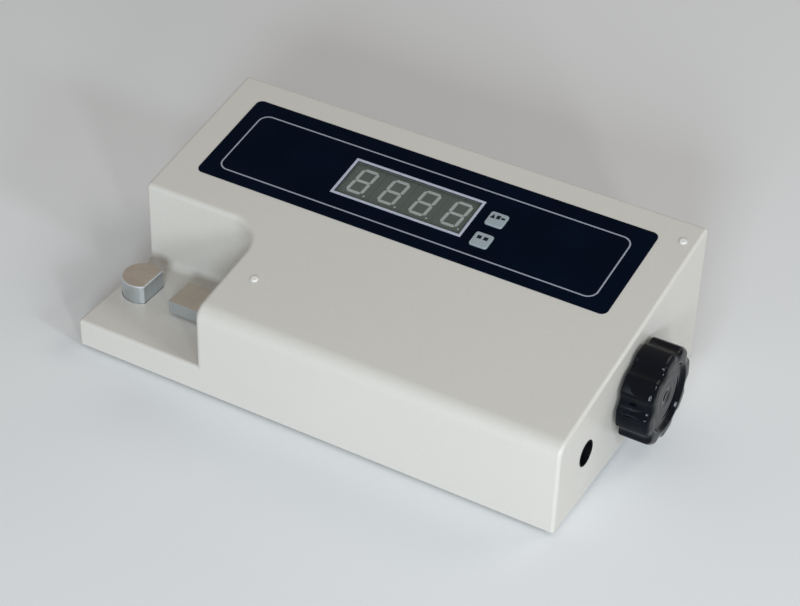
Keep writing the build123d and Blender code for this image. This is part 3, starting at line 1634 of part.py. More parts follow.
for number, digit_module in enumerate(digit_modules, start=1):
    pieces[f"digit_module_{number}"] = digit_module

os.makedirs("parts", exist_ok=True)
for name, piece in pieces.items():
    piece.part.label = name
    export_step(piece.part, f"parts/{name}.step")
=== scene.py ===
import json
from math import cos, pi, radians, sin, sqrt, tan, tau

import bmesh
import bpy
from mathutils import Matrix, Vector

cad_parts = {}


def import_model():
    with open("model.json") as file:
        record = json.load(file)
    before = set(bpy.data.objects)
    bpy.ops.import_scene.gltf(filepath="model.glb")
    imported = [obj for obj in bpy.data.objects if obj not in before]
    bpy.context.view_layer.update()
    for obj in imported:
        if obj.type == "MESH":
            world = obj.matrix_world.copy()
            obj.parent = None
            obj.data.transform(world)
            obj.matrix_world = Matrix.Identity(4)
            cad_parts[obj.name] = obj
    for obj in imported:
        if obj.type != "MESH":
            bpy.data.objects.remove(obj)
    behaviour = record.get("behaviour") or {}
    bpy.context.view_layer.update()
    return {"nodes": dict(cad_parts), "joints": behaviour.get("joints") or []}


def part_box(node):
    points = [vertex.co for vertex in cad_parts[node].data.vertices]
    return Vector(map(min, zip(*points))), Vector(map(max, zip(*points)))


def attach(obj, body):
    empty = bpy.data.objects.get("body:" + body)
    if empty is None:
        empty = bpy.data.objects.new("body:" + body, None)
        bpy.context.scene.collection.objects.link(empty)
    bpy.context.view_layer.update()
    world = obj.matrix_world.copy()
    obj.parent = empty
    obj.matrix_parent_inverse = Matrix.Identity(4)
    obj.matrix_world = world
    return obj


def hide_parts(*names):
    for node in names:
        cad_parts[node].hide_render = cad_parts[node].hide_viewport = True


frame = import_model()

MM = 0.001
scene = bpy.context.scene


# ------------------------------------------------------------------------------------------------
# Materials: every slot of the record gets its own node tree
# ------------------------------------------------------------------------------------------------

def colour(red, green, blue):
    """A colour given as 0 to 255 on a screen, as Blender's linear values."""
    linear = []
    for value in (red, green, blue):
        c = value / 255
        linear.append(c / 12.92 if c <= 0.04045 else ((c + 0.055) / 1.055) ** 2.4)
    return (*linear, 1.0)


def tinted(rgba, factor):
    return (*[min(1.0, c * factor) for c in rgba[:3]], 1.0)


class Finish:
    """A material with a short way to add its texture nodes, in the part's own coordinates."""

    def __init__(self, name, metallic=0.0, ior=1.5, coat=0.0, coat_roughness=0.1, specular=0.5):
        self.material = bpy.data.materials.new("finish_" + name)
        self.material.use_nodes = True
        self.tree = self.material.node_tree
        self.shader = self.tree.nodes["Principled BSDF"]
        self.set("Metallic", metallic)
        self.set("IOR", ior)
        self.set("Coat Weight", coat)
        self.set("Coat Roughness", coat_roughness)
        self.set("Specular IOR Level", specular)
        self.place = self.new("ShaderNodeTexCoord").outputs["Object"]

    def new(self, kind):
        return self.tree.nodes.new(kind)

    def set(self, socket, value):
        self.shader.inputs[socket].default_value = value

    def link(self, start, end):
        self.tree.links.new(start, end)

    def stretched(self, scale):
        node = self.new("ShaderNodeMapping")
        node.inputs["Scale"].default_value = scale
        self.link(self.place, node.inputs["Vector"])
        return node.outputs["Vector"]

    def noise(self, scale, detail=2.0, roughness=0.5, stretch=None):
        node = self.new("ShaderNodeTexNoise")
        node.inputs["Scale"].default_value = scale
        node.inputs["Detail"].default_value = detail
        node.inputs["Roughness"].default_value = roughness
        self.link(self.stretched(stretch) if stretch else self.place, node.inputs["Vector"])
        return node.outputs["Fac"]

    def cells(self, scale, feature):
        node = self.new("ShaderNodeTexVoronoi")
        node.feature = feature
        node.inputs["Scale"].default_value = scale
        self.link(self.place, node.inputs["Vector"])
        return node.outputs["Distance"]

    def bands(self, scale, direction, distortion=0.0, profile="SIN"):
        node = self.new("ShaderNodeTexWave")
        node.bands_direction = direction
        node.wave_profile = profile
        node.inputs["Scale"].default_value = scale
        node.inputs["Distortion"].default_value = distortion
        self.link(self.place, node.inputs["Vector"])
        return node.outputs["Fac"]

    def remap(self, value, low, high, to_low=0.0, to_high=1.0):
        node = self.new("ShaderNodeMapRange")
        limits = {"From Min": low, "From Max": high, "To Min": to_low, "To Max": to_high}
        for socket, number in limits.items():
            node.inputs[socket].default_value = number
        self.link(value, node.inputs["Value"])
        return node.outputs["Result"]

    def mix(self, factor, first, second):
        node = self.new("ShaderNodeMix")
        node.data_type = "RGBA"
        self.link(factor, node.inputs[0])
        for socket, value in ((node.inputs[6], first), (node.inputs[7], second)):
            if hasattr(value, "is_linked"):
                self.link(value, socket)
            else:
                socket.default_value = value
        return node.outputs[2]

    def maths(self, operation, first, second):
        node = self.new("ShaderNodeMath")
        node.operation = operation
        for socket, value in zip(node.inputs, (first, second)):
            if hasattr(value, "is_linked"):
                self.link(value, socket)
            else:
                socket.default_value = value
        return node.outputs[0]

    def base(self, value):
        if hasattr(value, "is_linked"):
            self.link(value, self.shader.inputs["Base Color"])
        else:
            self.set("Base Color", value)

    def rough(self, value):
        self.link(value, self.shader.inputs["Roughness"])

    def bump(self, *layers):
        """Layers are (height, depth in metres). The first lies lowest."""
        normal = None
        for height, depth in layers:
            node = self.new("ShaderNodeBump")
            node.inputs["Strength"].default_value = 1.0
            node.inputs["Distance"].default_value = depth
            self.link(height, node.inputs["Height"])
            if normal:
                self.link(normal, node.inputs["Normal"])
            normal = node.outputs["Normal"]
        self.link(normal, self.shader.inputs["Normal"])


def painted(name, shade, gloss, peel=8e-6, coat=0.12):
    """Stoved paint: soft waviness, a fine grain and small changes of shade."""
    f = Finish(name, coat=coat, coat_roughness=0.24)
    cloudy = f.remap(f.noise(9, 3), 0.3, 0.7)
    fine = f.remap(f.noise(950, 2), 0.25, 0.75)
    f.base(f.mix(fine, f.mix(cloudy, tinted(shade, 0.965), shade), tinted(shade, 1.03)))
    f.rough(f.remap(f.noise(55, 4, 0.6), 0.3, 0.7, gloss - 0.04, gloss + 0.05))
    f.bump((f.noise(420, 2, 0.4), peel), (f.noise(2600, 1), 2e-6))
    return f.material


def metal(name, shade, gloss, lay=(1, 1, 1), scale=120, depth=1.5e-6, tone=0.1):
    """Bare metal with the marks of its last cut along the axis where lay is smallest."""
    f = Finish(name, metallic=1.0)
    lines = f.noise(scale, 4, 0.65, lay)
    stain = f.remap(f.noise(35, 4, 0.6), 0.3, 0.75)
    body = f.mix(f.remap(lines, 0.3, 0.7), tinted(shade, 1 - tone), tinted(shade, 1 + tone * 0.4))
    f.base(f.mix(stain, body, tinted(shade, 1 - tone * 0.8)))
    f.rough(f.maths("ADD", f.remap(lines, 0.3, 0.7, gloss - 0.06, gloss + 0.06),
                    f.remap(f.noise(160, 3), 0.35, 0.75, 0.0, 0.05)))
    f.bump((lines, depth), (f.noise(scale * 9, 2, 0.5, lay), depth * 0.5))
    return f.material


def jaw_steel():
    """Steel jaws with a fine vertical grind: faces that point up are painted darker and warmer than
    the bright sides, as painted shade.
    """
    f = Finish("polished_steel", metallic=1.0)
    grind = f.noise(300, 4, 0.6, (4, 4, 0.1))
    facing = f.new("ShaderNodeSeparateXYZ")
    f.link(f.new("ShaderNodeNewGeometry").outputs["Normal"], facing.inputs[0])
    # Faces that point up take a darker, warmer colour: painted shade on the tops.
    top = f.remap(facing.outputs["Z"], 0.8, 0.95)
    f.base(f.mix(top, f.mix(grind, colour(186, 193, 198), colour(212, 218, 222)),
                 f.mix(f.noise(90, 4, 0.6), colour(160, 151, 141), colour(188, 179, 168))))
    f.rough(f.remap(grind, 0.3, 0.7, 0.36, 0.5))
    f.bump((grind, 8e-7), (f.noise(1800, 2), 5e-7))
    return f.material


def moulded(name, shade, gloss, grain=1400, depth=5e-6, coat=0.0, specular=0.5):
    """Moulded plastic: an even eroded grain, with flow marks that change the shade a little."""
    f = Finish(name, coat=coat, coat_roughness=0.05, ior=1.49, specular=specular)
    flow = f.remap(f.noise(28, 3, 0.55, (1, 1, 2.2)), 0.3, 0.7)
    f.base(f.mix(flow, tinted(shade, 0.95), tinted(shade, 1.05)))
    f.rough(f.remap(f.noise(90, 3), 0.3, 0.7, max(0.02, gloss - 0.04), gloss + 0.05))
    f.bump((f.noise(grain, 2, 0.5), depth), (f.noise(160, 2), depth * 2))
    return f.material


def gloss_black():
    """Compression-moulded knob plastic: glossy, near black with a blue tint that is a painted
    reflection, with faint turned rings and fine rubbing marks.
    """
    f = Finish("knob_plastic", ior=1.6, specular=0.1)
    smear = f.remap(f.noise(60, 4, 0.6), 0.35, 0.75)
    # The blue in these near-black shades is a painted reflection of a blue surround.
    f.base(f.mix(smear, colour(3, 6, 13), colour(8, 12, 21)))
    f.rough(f.remap(smear, 0.0, 1.0, 0.06, 0.12))
    f.bump((f.noise(110, 2), 8e-6), (f.noise(900, 2), 1e-6))
    return f.material


def rubber():
    f = Finish("foot_rubber", ior=1.52)
    dust = f.remap(f.noise(160, 5, 0.7), 0.5, 0.8)
    f.base(f.mix(dust, colour(30, 30, 32), colour(58, 56, 53)))
    f.rough(f.remap(f.noise(300, 3), 0.3, 0.7, 0.72, 0.88))
    f.bump((f.noise(700, 3, 0.6), 2.5e-5))
    return f.material


def panel_film():
    """Printed polycarbonate film: nearly black blue with a fine velvet stipple."""
    f = Finish("panel_film", ior=1.58, specular=0.005)
    f.base(f.mix(f.remap(f.noise(40, 3), 0.3, 0.7), colour(6, 14, 27), colour(9, 17, 32)))
    f.rough(f.remap(f.noise(75, 3), 0.3, 0.7, 0.36, 0.44))
    f.bump((f.noise(3200, 2, 0.6), 2.5e-6))
    return f.material


def printed_line(name, shade):
    f = Finish(name)
    f.base(f.mix(f.remap(f.noise(650, 3), 0.3, 0.7), tinted(shade, 0.9), tinted(shade, 1.08)))
    f.rough(f.remap(f.noise(260, 2), 0.3, 0.7, 0.42, 0.55))
    f.bump((f.noise(1500, 2), 3e-6))
    return f.material


def window():
    """Smoked filter plate: the dark tint is thin enough to read the digits through."""
    f = Finish("window_plastic", ior=1.49)
    f.base(f.mix(f.remap(f.noise(120, 3), 0.35, 0.7), colour(58, 68, 62), colour(66, 75, 70)))
    f.rough(f.remap(f.noise(90, 3), 0.3, 0.7, 0.08, 0.16))
    f.bump((f.noise(1800, 1), 8e-7))
    f.set("Alpha", 0.2)
    return f.material


def module_face():
    """Cast digit module: grey green, with the weave of its diffuser."""
    f = Finish("module_plastic")
    weave = f.maths("MULTIPLY", f.bands(420, "X"), f.bands(420, "Y"))
    tone = f.mix(f.remap(weave, 0.0, 0.6), colour(112, 123, 117), colour(92, 103, 98))
    f.base(f.mix(f.remap(f.noise(210, 4, 0.7), 0.4, 0.7), tone, colour(110, 119, 110)))
    f.rough(f.remap(f.noise(240, 2), 0.3, 0.7, 0.42, 0.56))
    f.bump((weave, 1.2e-5), (f.noise(900, 2), 6e-6))
    return f.material


def segments():
    f = Finish("segment_resin", ior=1.55)
    f.base(f.mix(f.remap(f.noise(380, 3), 0.3, 0.7), colour(220, 228, 223), colour(234, 240, 236)))
    f.rough(f.remap(f.noise(500, 2), 0.3, 0.7, 0.26, 0.36))
    f.bump((f.noise(1100, 2), 6e-6))
    return f.material


def circuit_board():
    f = Finish("circuit_board", coat=0.4, coat_roughness=0.15)
    tracks = f.remap(f.cells(260, "DISTANCE_TO_EDGE"), 0.035, 0.06)
    mask = f.mix(f.noise(60, 3), colour(12, 72, 45), colour(16, 84, 54))
    f.base(f.mix(tracks, colour(30, 120, 78), mask))
    f.rough(f.remap(f.noise(140, 2), 0.3, 0.7, 0.28, 0.38))
    f.bump((tracks, 2.5e-5), (f.noise(1900, 2), 4e-6))
    return f.material


def laminations():
    f = Finish("core_steel", metallic=0.75)
    sheets = f.bands(310, "Z", 0.4)
    f.base(f.mix(f.remap(sheets, 0.2, 0.8), colour(62, 60, 60), colour(108, 104, 100)))
    f.rough(f.remap(f.noise(120, 4), 0.3, 0.7, 0.42, 0.62))
    f.bump((sheets, 6e-5), (f.noise(600, 3), 1e-5))
    return f.material


def winding_tape():
    f = Finish("winding_tape", coat=0.5, coat_roughness=0.12)
    wraps = f.bands(26, "Z", 0.8, "SAW")
    f.base(f.mix(f.remap(wraps, 0.85, 1.0), colour(206, 168, 44), colour(172, 134, 28)))
    f.rough(f.remap(f.noise(90, 3), 0.3, 0.7, 0.24, 0.38))
    f.bump((wraps, 6e-5), (f.noise(260, 4, 0.6), 7e-5))
    return f.material


def sleeve(name, shade, pitch):
    f = Finish(name, ior=1.52)
    f.base(f.mix(f.remap(f.noise(pitch, 3), 0.3, 0.7), tinted(shade, 0.9), tinted(shade, 1.08)))
    f.rough(f.remap(f.noise(200, 2), 0.3, 0.7, 0.34, 0.46))
    f.bump((f.noise(500, 3), 1.6e-5))
    return f.material


# Tool marks run along the axis that is stretched least.
CUT_X, CUT_Y, CUT_Z = (0.06, 4, 4), (4, 0.06, 4), (4, 4, 0.06)
FINISHES = {
    "casing_paint": painted("casing_paint", colour(207, 203, 196), 0.4),
    "base_paint": painted("base_paint", colour(66, 68, 71), 0.52, peel=1.2e-5, coat=0.0),
    "machined_steel": metal("machined_steel", colour(176, 176, 174), 0.34, CUT_X, tone=0.14),
    "polished_steel": jaw_steel(),
    "ground_steel": metal("ground_steel", colour(186, 187, 190), 0.24, CUT_X, 200),
    "zinc_screws": metal("zinc_screws", colour(188, 190, 186), 0.32, scale=260, tone=0.16),
    "black_screws": metal("black_screws", colour(44, 44, 46), 0.42, scale=260, tone=0.2),
    "machined_aluminium": metal("machined_aluminium", colour(196, 198, 202), 0.36, CUT_Y, 140),
    "bronze": metal("bronze", colour(186, 142, 84), 0.3, CUT_X, 180, tone=0.16),
    "foot_rubber": rubber(),
    "knob_plastic": gloss_black(),
    "panel_film": panel_film(),
    "display_line": printed_line("display_line", colour(182, 187, 202)),
    "window_plastic": window(),
    "module_plastic": module_face(),
    "segment_resin": segments(),
    "circuit_board": circuit_board(),
    "black_plastic": moulded("black_plastic", colour(30, 30, 32), 0.42, depth=1.2e-5),
    "rocker_plastic": moulded("rocker_plastic", colour(24, 24, 26), 0.24, depth=3e-6, coat=0.3),
    "key_plastic": moulded("key_plastic", colour(152, 163, 169), 0.42, 1800, 4e-6),
    "plug_plastic": moulded("plug_plastic", colour(226, 225, 219), 0.45, 1800, 3e-6),
    "core_steel": laminations(),
    "winding_tape": winding_tape(),
    "zinc_sheet": metal("zinc_sheet", colour(182, 186, 188), 0.36, scale=70, tone=0.18),
    "capacitor_sleeve": sleeve("capacitor_sleeve", colour(28, 34, 66), 90),
    "black_aluminium": metal("black_aluminium", colour(40, 40, 42), 0.46, CUT_Z, 150, tone=0.2),
    "trimmer_metal": metal("trimmer_metal", colour(84, 84, 86), 0.4, scale=220),
    "pin_metal": metal("pin_metal", colour(200, 196, 184), 0.22, CUT_Y, 260),
    "wire_sleeve": sleeve("wire_sleeve", colour(150, 34, 30), 140),
}
for node in frame["nodes"].values():
    for number, old in enumerate(node.data.materials):
        node.data.materials[number] = FINISHES[old.name.split(".")[0]]


def printed_mark(name, shade):
    """Pad-printed ink on a key or a switch."""
    f = Finish(name, specular=0.1)
    f.base(f.mix(f.remap(f.noise(900, 3), 0.3, 0.7), tinted(shade, 0.85), tinted(shade, 1.1)))
    f.rough(f.remap(f.noise(400, 2), 0.3, 0.7, 0.45, 0.6))
    f.bump((f.noise(2200, 2), 2e-6))
    return f.material


PANEL_LINE = printed_line("panel_line", colour(152, 157, 170))
# Near-black with little shine: the liner's own colour, which also paints the shade inside the round
# hole.
LINER_AND_HOLE_SHADE = moulded("liner_and_hole_shade", colour(9, 10, 13), 0.6, specular=0.08)
GASKET = moulded("gasket_sealant", colour(70, 78, 75), 0.7, specular=0.1)
KEY_INK = printed_mark("key_ink", colour(22, 30, 36))
SWITCH_INK = printed_mark("switch_ink", colour(226, 226, 222))


# ------------------------------------------------------------------------------------------------
# Mesh helpers
# ------------------------------------------------------------------------------------------------

def add_mesh(name, points, faces, material, body, sharp=40.0):
    """A new object of the scene. Without a body it is a tool that another piece uses up."""
    mesh = bpy.data.meshes.new(name)
    mesh.from_pydata([tuple(point) for point in points], [], faces)
    shape = bmesh.new()
    shape.from_mesh(mesh)
    bmesh.ops.recalc_face_normals(shape, faces=shape.faces)
    shape.to_mesh(mesh)
    shape.free()
    mesh.shade_smooth()
    mesh.set_sharp_from_angle(angle=radians(sharp))
    mesh.materials.append(material)
    made = bpy.data.objects.new(name, mesh)
    scene.collection.objects.link(made)
    if body:
        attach(made, body)
    return made


def piece(name, rings, material, body, sharp=40.0, closed=False):
    """A skin over rings of equally many points, closed at both ends, or into a loop if closed."""
    count = len(rings[0])
    faces = []
    for level in range(len(rings) if closed else len(rings) - 1):
        low, high = level * count, (level + 1) % len(rings) * count
        for k in range(count):
            n = (k + 1) % count
            faces.append((low + k, low + n, high + n, high + k))
    points = [point for ring in rings for point in ring]
    if not closed:
        faces += [tuple(reversed(range(count))), tuple(range(len(points) - count, len(points)))]
    return add_mesh(name, points, faces, material, body, sharp)


def round_rectangle(width, depth, radius, steps):
    """Points of a rounded rectangle about the origin, anticlockwise."""
    points = []
    for corner, (sx, sy) in enumerate(((1, 1), (-1, 1), (-1, -1), (1, -1))):
        for k in range(steps + 1):
            angle = (corner + k / steps) * pi / 2
            points.append((sx * (width / 2 - radius) + radius * cos(angle),
                           sy * (depth / 2 - radius) + radius * sin(angle)))
    return points


# The slope's own axes: x across, s up the slope, h out of it, as the keys' travel gives them.
key_joint = next(joint for joint in frame["joints"] if joint["name"] == "upper_key_press")
SLOPE_UP = -Vector(key_joint["axis"]).normalized()
SLOPE_BACK = SLOPE_UP.cross(Vector((1, 0, 0)))


def on_slope(x, s, h):
    """The point at x, s and h of the slope's own axes."""
    return Vector((x, 0, 0)) + SLOPE_BACK * s + SLOPE_UP * h


def slope_box(name):
    """Lowest and highest x, s and h of a node."""
    corners = [vertex.co for vertex in frame["nodes"][name].data.vertices]
    places = [(co.x, co.dot(SLOPE_BACK), co.dot(SLOPE_UP)) for co in corners]
    axes = list(zip(*places))
    return [min(axis) for axis in axes], [max(axis) for axis in axes]


# ------------------------------------------------------------------------------------------------
# Handwheel: eight lobes, a rounded front with a dished middle
# ------------------------------------------------------------------------------------------------

def handwheel():
    """Eight lobes around a dished face, on the axis of the lead screw."""
    low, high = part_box("handwheel")
    screw_low, screw_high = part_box("lead_screw")
    centre_y = (screw_low.y + screw_high.y) / 2
    centre_z = (screw_low.z + screw_high.z) / 2
    radius, lobes, first_lobe = 27.75 * MM, 8, -15.5
    flute_radius, flute_depth, blend = 8.0 * MM, 2.5 * MM, 1.1 * MM
    flute_centre = radius - flute_depth + flute_radius
    per_lobe = 26
    count = lobes * per_lobe

    def outline(turn):
        """The rim's radius: an outer circle with round flutes, blended in at their edges."""
        pitch = tau / lobes
        off = (turn - radians(first_lobe) + pitch / 2) % pitch - pitch / 2
        inside = flute_radius ** 2 - (flute_centre * sin(off)) ** 2
        if inside <= 0:
            return radius
        flute = flute_centre * cos(off) - sqrt(inside)
        share = max(0.0, min(1.0, 0.5 + 0.5 * (flute - radius) / blend))
        return flute * (1 - share) + radius * share - blend * share * (1 - share)

    face, back = high.x, low.x
    bore, bore_end = 8.02 * MM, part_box("handwheel_insert")[1].x + 0.1 * MM
    back_rings = (12 * MM, 20 * MM)
    bevel, back_bevel = 3.4 * MM, 1.2 * MM
    bevel_steps, back_bevel_steps, dish_steps = 9, 5, 8
    crown, crown_drop = 20.5 * MM, 0.25 * MM
    dish_edge, dish_floor, dish_depth = 20.1 * MM, 17.9 * MM, 2.0 * MM
    rings = []

    def ring(x, inset=None, circle=None, share=0.0):
        """A ring of the rim drawn in by inset, turning into a circle as share goes to 1."""
        points = []
        for k in range(count):
            turn = tau * k / count
            r = circle or 0
            if inset is not None:
                r = (outline(turn) - inset) * (1 - share) + r * share
            points.append((x, centre_y + r * cos(turn), centre_z + r * sin(turn)))
        rings.append(points)

    ring(bore_end, circle=bore)
    ring(back, circle=bore)
    for circle in back_rings:
        ring(back, circle=circle)
    for k in range(back_bevel_steps + 1):
        turn = k / back_bevel_steps * pi / 2
        ring(back + back_bevel * (1 - cos(turn)), inset=back_bevel * (1 - sin(turn)))
    for share in (0.3, 0.65):
        ring(back + (face - back) * share, inset=0.0)
    for k in range(bevel_steps + 1):
        turn = k / bevel_steps * pi / 2
        ring(face - crown_drop - bevel * (1 - sin(turn)), inset=bevel * (1 - cos(turn)))
    for share in (0.35, 0.7):
        ring(face - crown_drop * (1 - share) ** 2, inset=bevel, circle=crown, share=share)
    ring(face, circle=crown)
    for k in range(1, dish_steps + 1):
        turn = k / dish_steps * pi
        drop = dish_depth * (1 - cos(turn)) / 2
        ring(face - drop, circle=dish_edge + (dish_floor - dish_edge) * k / dish_steps)
    # The dish's floor has two faint rings and a small hollow, each point as radius and depth in mm.
    outer_ring = ((15.2, 0.0), (14.9, 0.03), (14.3, 0.03), (14.0, 0.0))
    inner_ring = ((9.4, 0.0), (9.1, 0.03), (8.6, 0.03), (8.3, 0.0))
    hollow = ((3.2, 0.0), (2.8, 0.15), (1.2, 0.2))
    for r, depth in outer_ring + inner_ring + hollow:
        ring(face - dish_depth - depth * MM, circle=r * MM)
    black = FINISHES["knob_plastic"]
    wheel = piece("handwheel_lobed", rings, black, None, sharp=50)

    # The set screw is reached through a round hole in one flute.
    grub_radius, grub_from_back, grub_steps = 2.1 * MM, 6.5 * MM, 32
    inner_end, outer_end = 6 * MM, 30 * MM
    turn = radians(first_lobe - 90)
    outward, side = Vector((0, cos(turn), sin(turn))), Vector((0, -sin(turn), cos(turn)))
    hole = []
    for distance in (inner_end, outer_end):
        middle = Vector((back + grub_from_back, centre_y, centre_z)) + outward * distance
        hole.append([middle + grub_radius * (Vector((1, 0, 0)) * cos(a) + side * sin(a))
                     for a in (tau * k / grub_steps for k in range(grub_steps))])
    cutter = piece("cutter", hole, black, None)
    cut = wheel.modifiers.new("grub_hole", "BOOLEAN")
    cut.operation, cut.solver, cut.object = "DIFFERENCE", "EXACT", cutter
    drilled = wheel.evaluated_get(bpy.context.evaluated_depsgraph_get())
    finished = bpy.data.meshes.new_from_object(drilled)
    wheel.modifiers.clear()
    wheel.data = finished
    bpy.data.objects.remove(cutter)
    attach(wheel, "screw_drive")
    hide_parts("handwheel")


handwheel()


# ------------------------------------------------------------------------------------------------
# Trim: the label's printed line, the window's edge, the figures and the round hole's lining, whose
# near-black paints the shade inside it
# ------------------------------------------------------------------------------------------------

def outline_strip():
    """The label's light line stands a hair above the film, at its own margin from each edge."""
    low, high = slope_box("panel_overlay")
    left, right, front, back = 9.2 * MM, 10.6 * MM, 7.7 * MM, 9.9 * MM
    corner, corner_steps = 6.5 * MM, 12
    line, height, sunk, edge = 0.9 * MM, 0.06 * MM, 0.1 * MM, 0.12 * MM
    width = high[0] - low[0] - left - right
    depth = high[1] - low[1] - front - back
    middle_x, middle_s = low[0] + left + width / 2, low[1] + front + depth / 2
    rings = []
    for inset, h in ((0, -sunk), (0, 0), (edge, height),
                     (line - edge, height), (line, 0), (line, -sunk)):
        outline = round_rectangle(width - 2 * inset, depth - 2 * inset,
                                  corner - inset, corner_steps)
        rings.append([on_slope(middle_x + x, middle_s + s, high[2] + h) for x, s in outline])
    piece("panel_outline", rings, PANEL_LINE, "casing", closed=True)


outline_strip()


def window_gasket():
    """A grey line of sealant inside the frame, over the edge of the opening below the window."""
    frame_low, frame_high = slope_box("display_frame")
    top = slope_box("display_window")[1][2]
    frame_line, line, sunk, height = 1.5 * MM, 0.6 * MM, 0.1 * MM, 0.03 * MM
    corner, corner_steps = 0.2 * MM, 3
    width, depth = (frame_high[k] - frame_low[k] - 2 * frame_line for k in (0, 1))
    middle_x, middle_s = ((frame_low[k] + frame_high[k]) / 2 for k in (0, 1))
    rings = [[on_slope(middle_x + x, middle_s + s, top + h) for x, s in
              round_rectangle(width - 2 * inset, depth - 2 * inset, corner, corner_steps)]
             for inset, h in ((0, -sunk), (0, height), (line, height), (line, -sunk))]
    piece("window_gasket", rings, GASKET, "casing", closed=True)


window_gasket()


def digits():
    """Four figures of seven bars and a point, nearly upright, each on the face of its module."""
    low, high = slope_box("digit_segments")
    width, height, bar, gap, lean = 11.1 * MM, 20.4 * MM, 1.9 * MM, 0.2 * MM, radians(4)
    shift, rise = 0.4 * MM, 0.9 * MM
    point, point_x, point_steps = 0.6 * MM, 7.2 * MM, 24
    half_w, half_h, half_bar = (width - bar) / 2, (height - bar) / 2, bar / 2

    def level(s):
        """Corners of a bar across the figure, at height s."""
        end = half_w - gap
        return [(-end, s), (half_bar - end, s - half_bar), (end - half_bar, s - half_bar), (end, s),
                (end - half_bar, s + half_bar), (half_bar - end, s + half_bar)]

    def upright(x, s):
        """Corners of a bar up the figure, with its middle at x and s."""
        end = half_h / 2 - gap
        start, stop = s - end, s + end
        return [(x, start), (x + half_bar, start + half_bar), (x + half_bar, stop - half_bar),
                (x, stop), (x - half_bar, stop - half_bar), (x - half_bar, start + half_bar)]

    figure = [level(s) for s in (-half_h, 0, half_h)]
    figure += [upright(x, s) for x in (-half_w, half_w) for s in (-half_h / 2, half_h / 2)]
    figure.append([(point_x + point * cos(a), -height / 2 + point * sin(a))
                   for a in (tau * k / point_steps for k in range(point_steps))])
    points, faces = [], []
    for number in range(4):
        module_low, module_high = slope_box(f"digit_module_{number + 1}")
        middle_x = (module_low[0] + module_high[0]) / 2 + shift
        middle_s = (module_low[1] + module_high[1]) / 2 + rise
        for corners in figure:
            n = len(corners)
            under = len(points)
            over = under + n
            points += [on_slope(middle_x + x + s * tan(lean), middle_s + s, h)
                       for h in (low[2], high[2]) for x, s in corners]
            for k in range(n):
                following = (k + 1) % n
                faces.append((under + k, under + following, over + following, over + k))
            faces += [tuple(reversed(range(under, over))), tuple(range(over, over + n))]
    resin = FINISHES["segment_resin"]
    shown = add_mesh("digit_bars", points, faces, resin, "casing")
    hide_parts("digit_segments")


digits()


def hole_liner_and_shade():
    """A near-black ring that lines the round hole in the right end, with a thin flange over its
    edge; its dull near-black also paints the shade inside the hole.
    """
    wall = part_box("main_casing")[1].x
    centre_y, centre_z = -55.1 * MM, 31.9 * MM
    bore, body, flange = 6.7 * MM, 7.15 * MM, 7.6 * MM
    top, edge, lift, inner_end, steps = 0.25 * MM, 0.15 * MM, 0.02 * MM, 8.0 * MM, 64
    rings = []
    for r, x in ((bore, -inner_end), (bore, top - edge), (bore + edge, top), (flange - edge, top),
                 (flange, lift), (body, lift), (body, -inner_end)):
        rings.append([(wall + x, centre_y + r * cos(a), centre_z + r * sin(a))
                      for a in (tau * k / steps for k in range(steps))])
    piece("hole_liner_and_shade", rings, LINER_AND_HOLE_SHADE, "casing", closed=True)


hole_liner_and_shade()


# ------------------------------------------------------------------------------------------------
# Marks: plain shapes printed on the two keys and on the rocker
# ------------------------------------------------------------------------------------------------

def key_marks(key, body, shapes):
    """Plain shapes in the key's back half. Each has its corners in mm from the key's middle."""
    low, high = slope_box(key)
    middle_x, middle_s = (low[0] + high[0]) / 2, (low[1] + high[1]) / 2
    sunk, ink = 0.1 * MM, 0.03 * MM
    for number, corners in enumerate(shapes):
        rings = [[on_slope(middle_x + x * MM, middle_s + s * MM, high[2] + h) for x, s in corners]
                 for h in (-sunk, ink)]
        piece(f"{key}_mark_{number + 1}", rings, KEY_INK, body)


def block(x, s, width, depth):
    """Corners of a rectangle with its middle at x and s."""
    left, right, front, back = x - width / 2, x + width / 2, s - depth / 2, s + depth / 2
    return [(left, front), (right, front), (right, back), (left, back)]


key_marks("upper_key", "upper_key_cap", [
    [(-4.4, -0.1), (-1.5, -0.1), (-2.9, 3.4)],
    block(0.2, 1.7, 2.3, 2.9),
    block(3.2, 1.6, 2.3, 1.5),
])
key_marks("lower_key", "lower_key_cap", [
    block(-2.0, 1.4, 2.6, 2.6),
    block(2.0, 1.4, 2.6, 2.6),
])


def rocker_marks():
    """A bar and a ring, for on and off, on the two faces of the rocker."""
    rocker = frame["nodes"]["power_switch_rocker"]
    low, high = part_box("power_switch_rocker")
    across = Vector((1, 0, 0))
    bar_share, ring_share = 0.77, 0.23
    bar_width, bar_length, bar_corner = 0.8 * MM, 3.2 * MM, 0.25 * MM
    ring_outer, ring_inner, ring_steps = 1.7 * MM, 1.15 * MM, 40
    sunk, ink = 0.1 * MM, 0.04 * MM

    def surface(share):
        """A point on the rocker's outer face at a share of its height, with up and out there."""
        start = Vector(((low.x + high.x) / 2, high.y + 0.01, low.z + (high.z - low.z) * share))
        place, normal = rocker.ray_cast(start, Vector((0, -1, 0)))[1:3]
        return place, normal.cross(across).normalized(), normal

    place, up, out = surface(bar_share)
    bar = round_rectangle(bar_width, bar_length, bar_corner, 4)
    rings = [[place + across * x + up * s + out * h for x, s in bar] for h in (-sunk, ink)]
    piece("rocker_bar", rings, SWITCH_INK, "switch_rocker")

    place, up, out = surface(ring_share)
    rings = []
    for r, h in ((ring_outer, -sunk), (ring_outer, ink), (ring_inner, ink), (ring_inner, -sunk)):
        rings.append([place + (across * cos(a) + up * sin(a)) * r + out * h
                      for a in (tau * k / ring_steps for k in range(ring_steps))])
    piece("rocker_ring", rings, SWITCH_INK, "switch_rocker", closed=True)


rocker_marks()


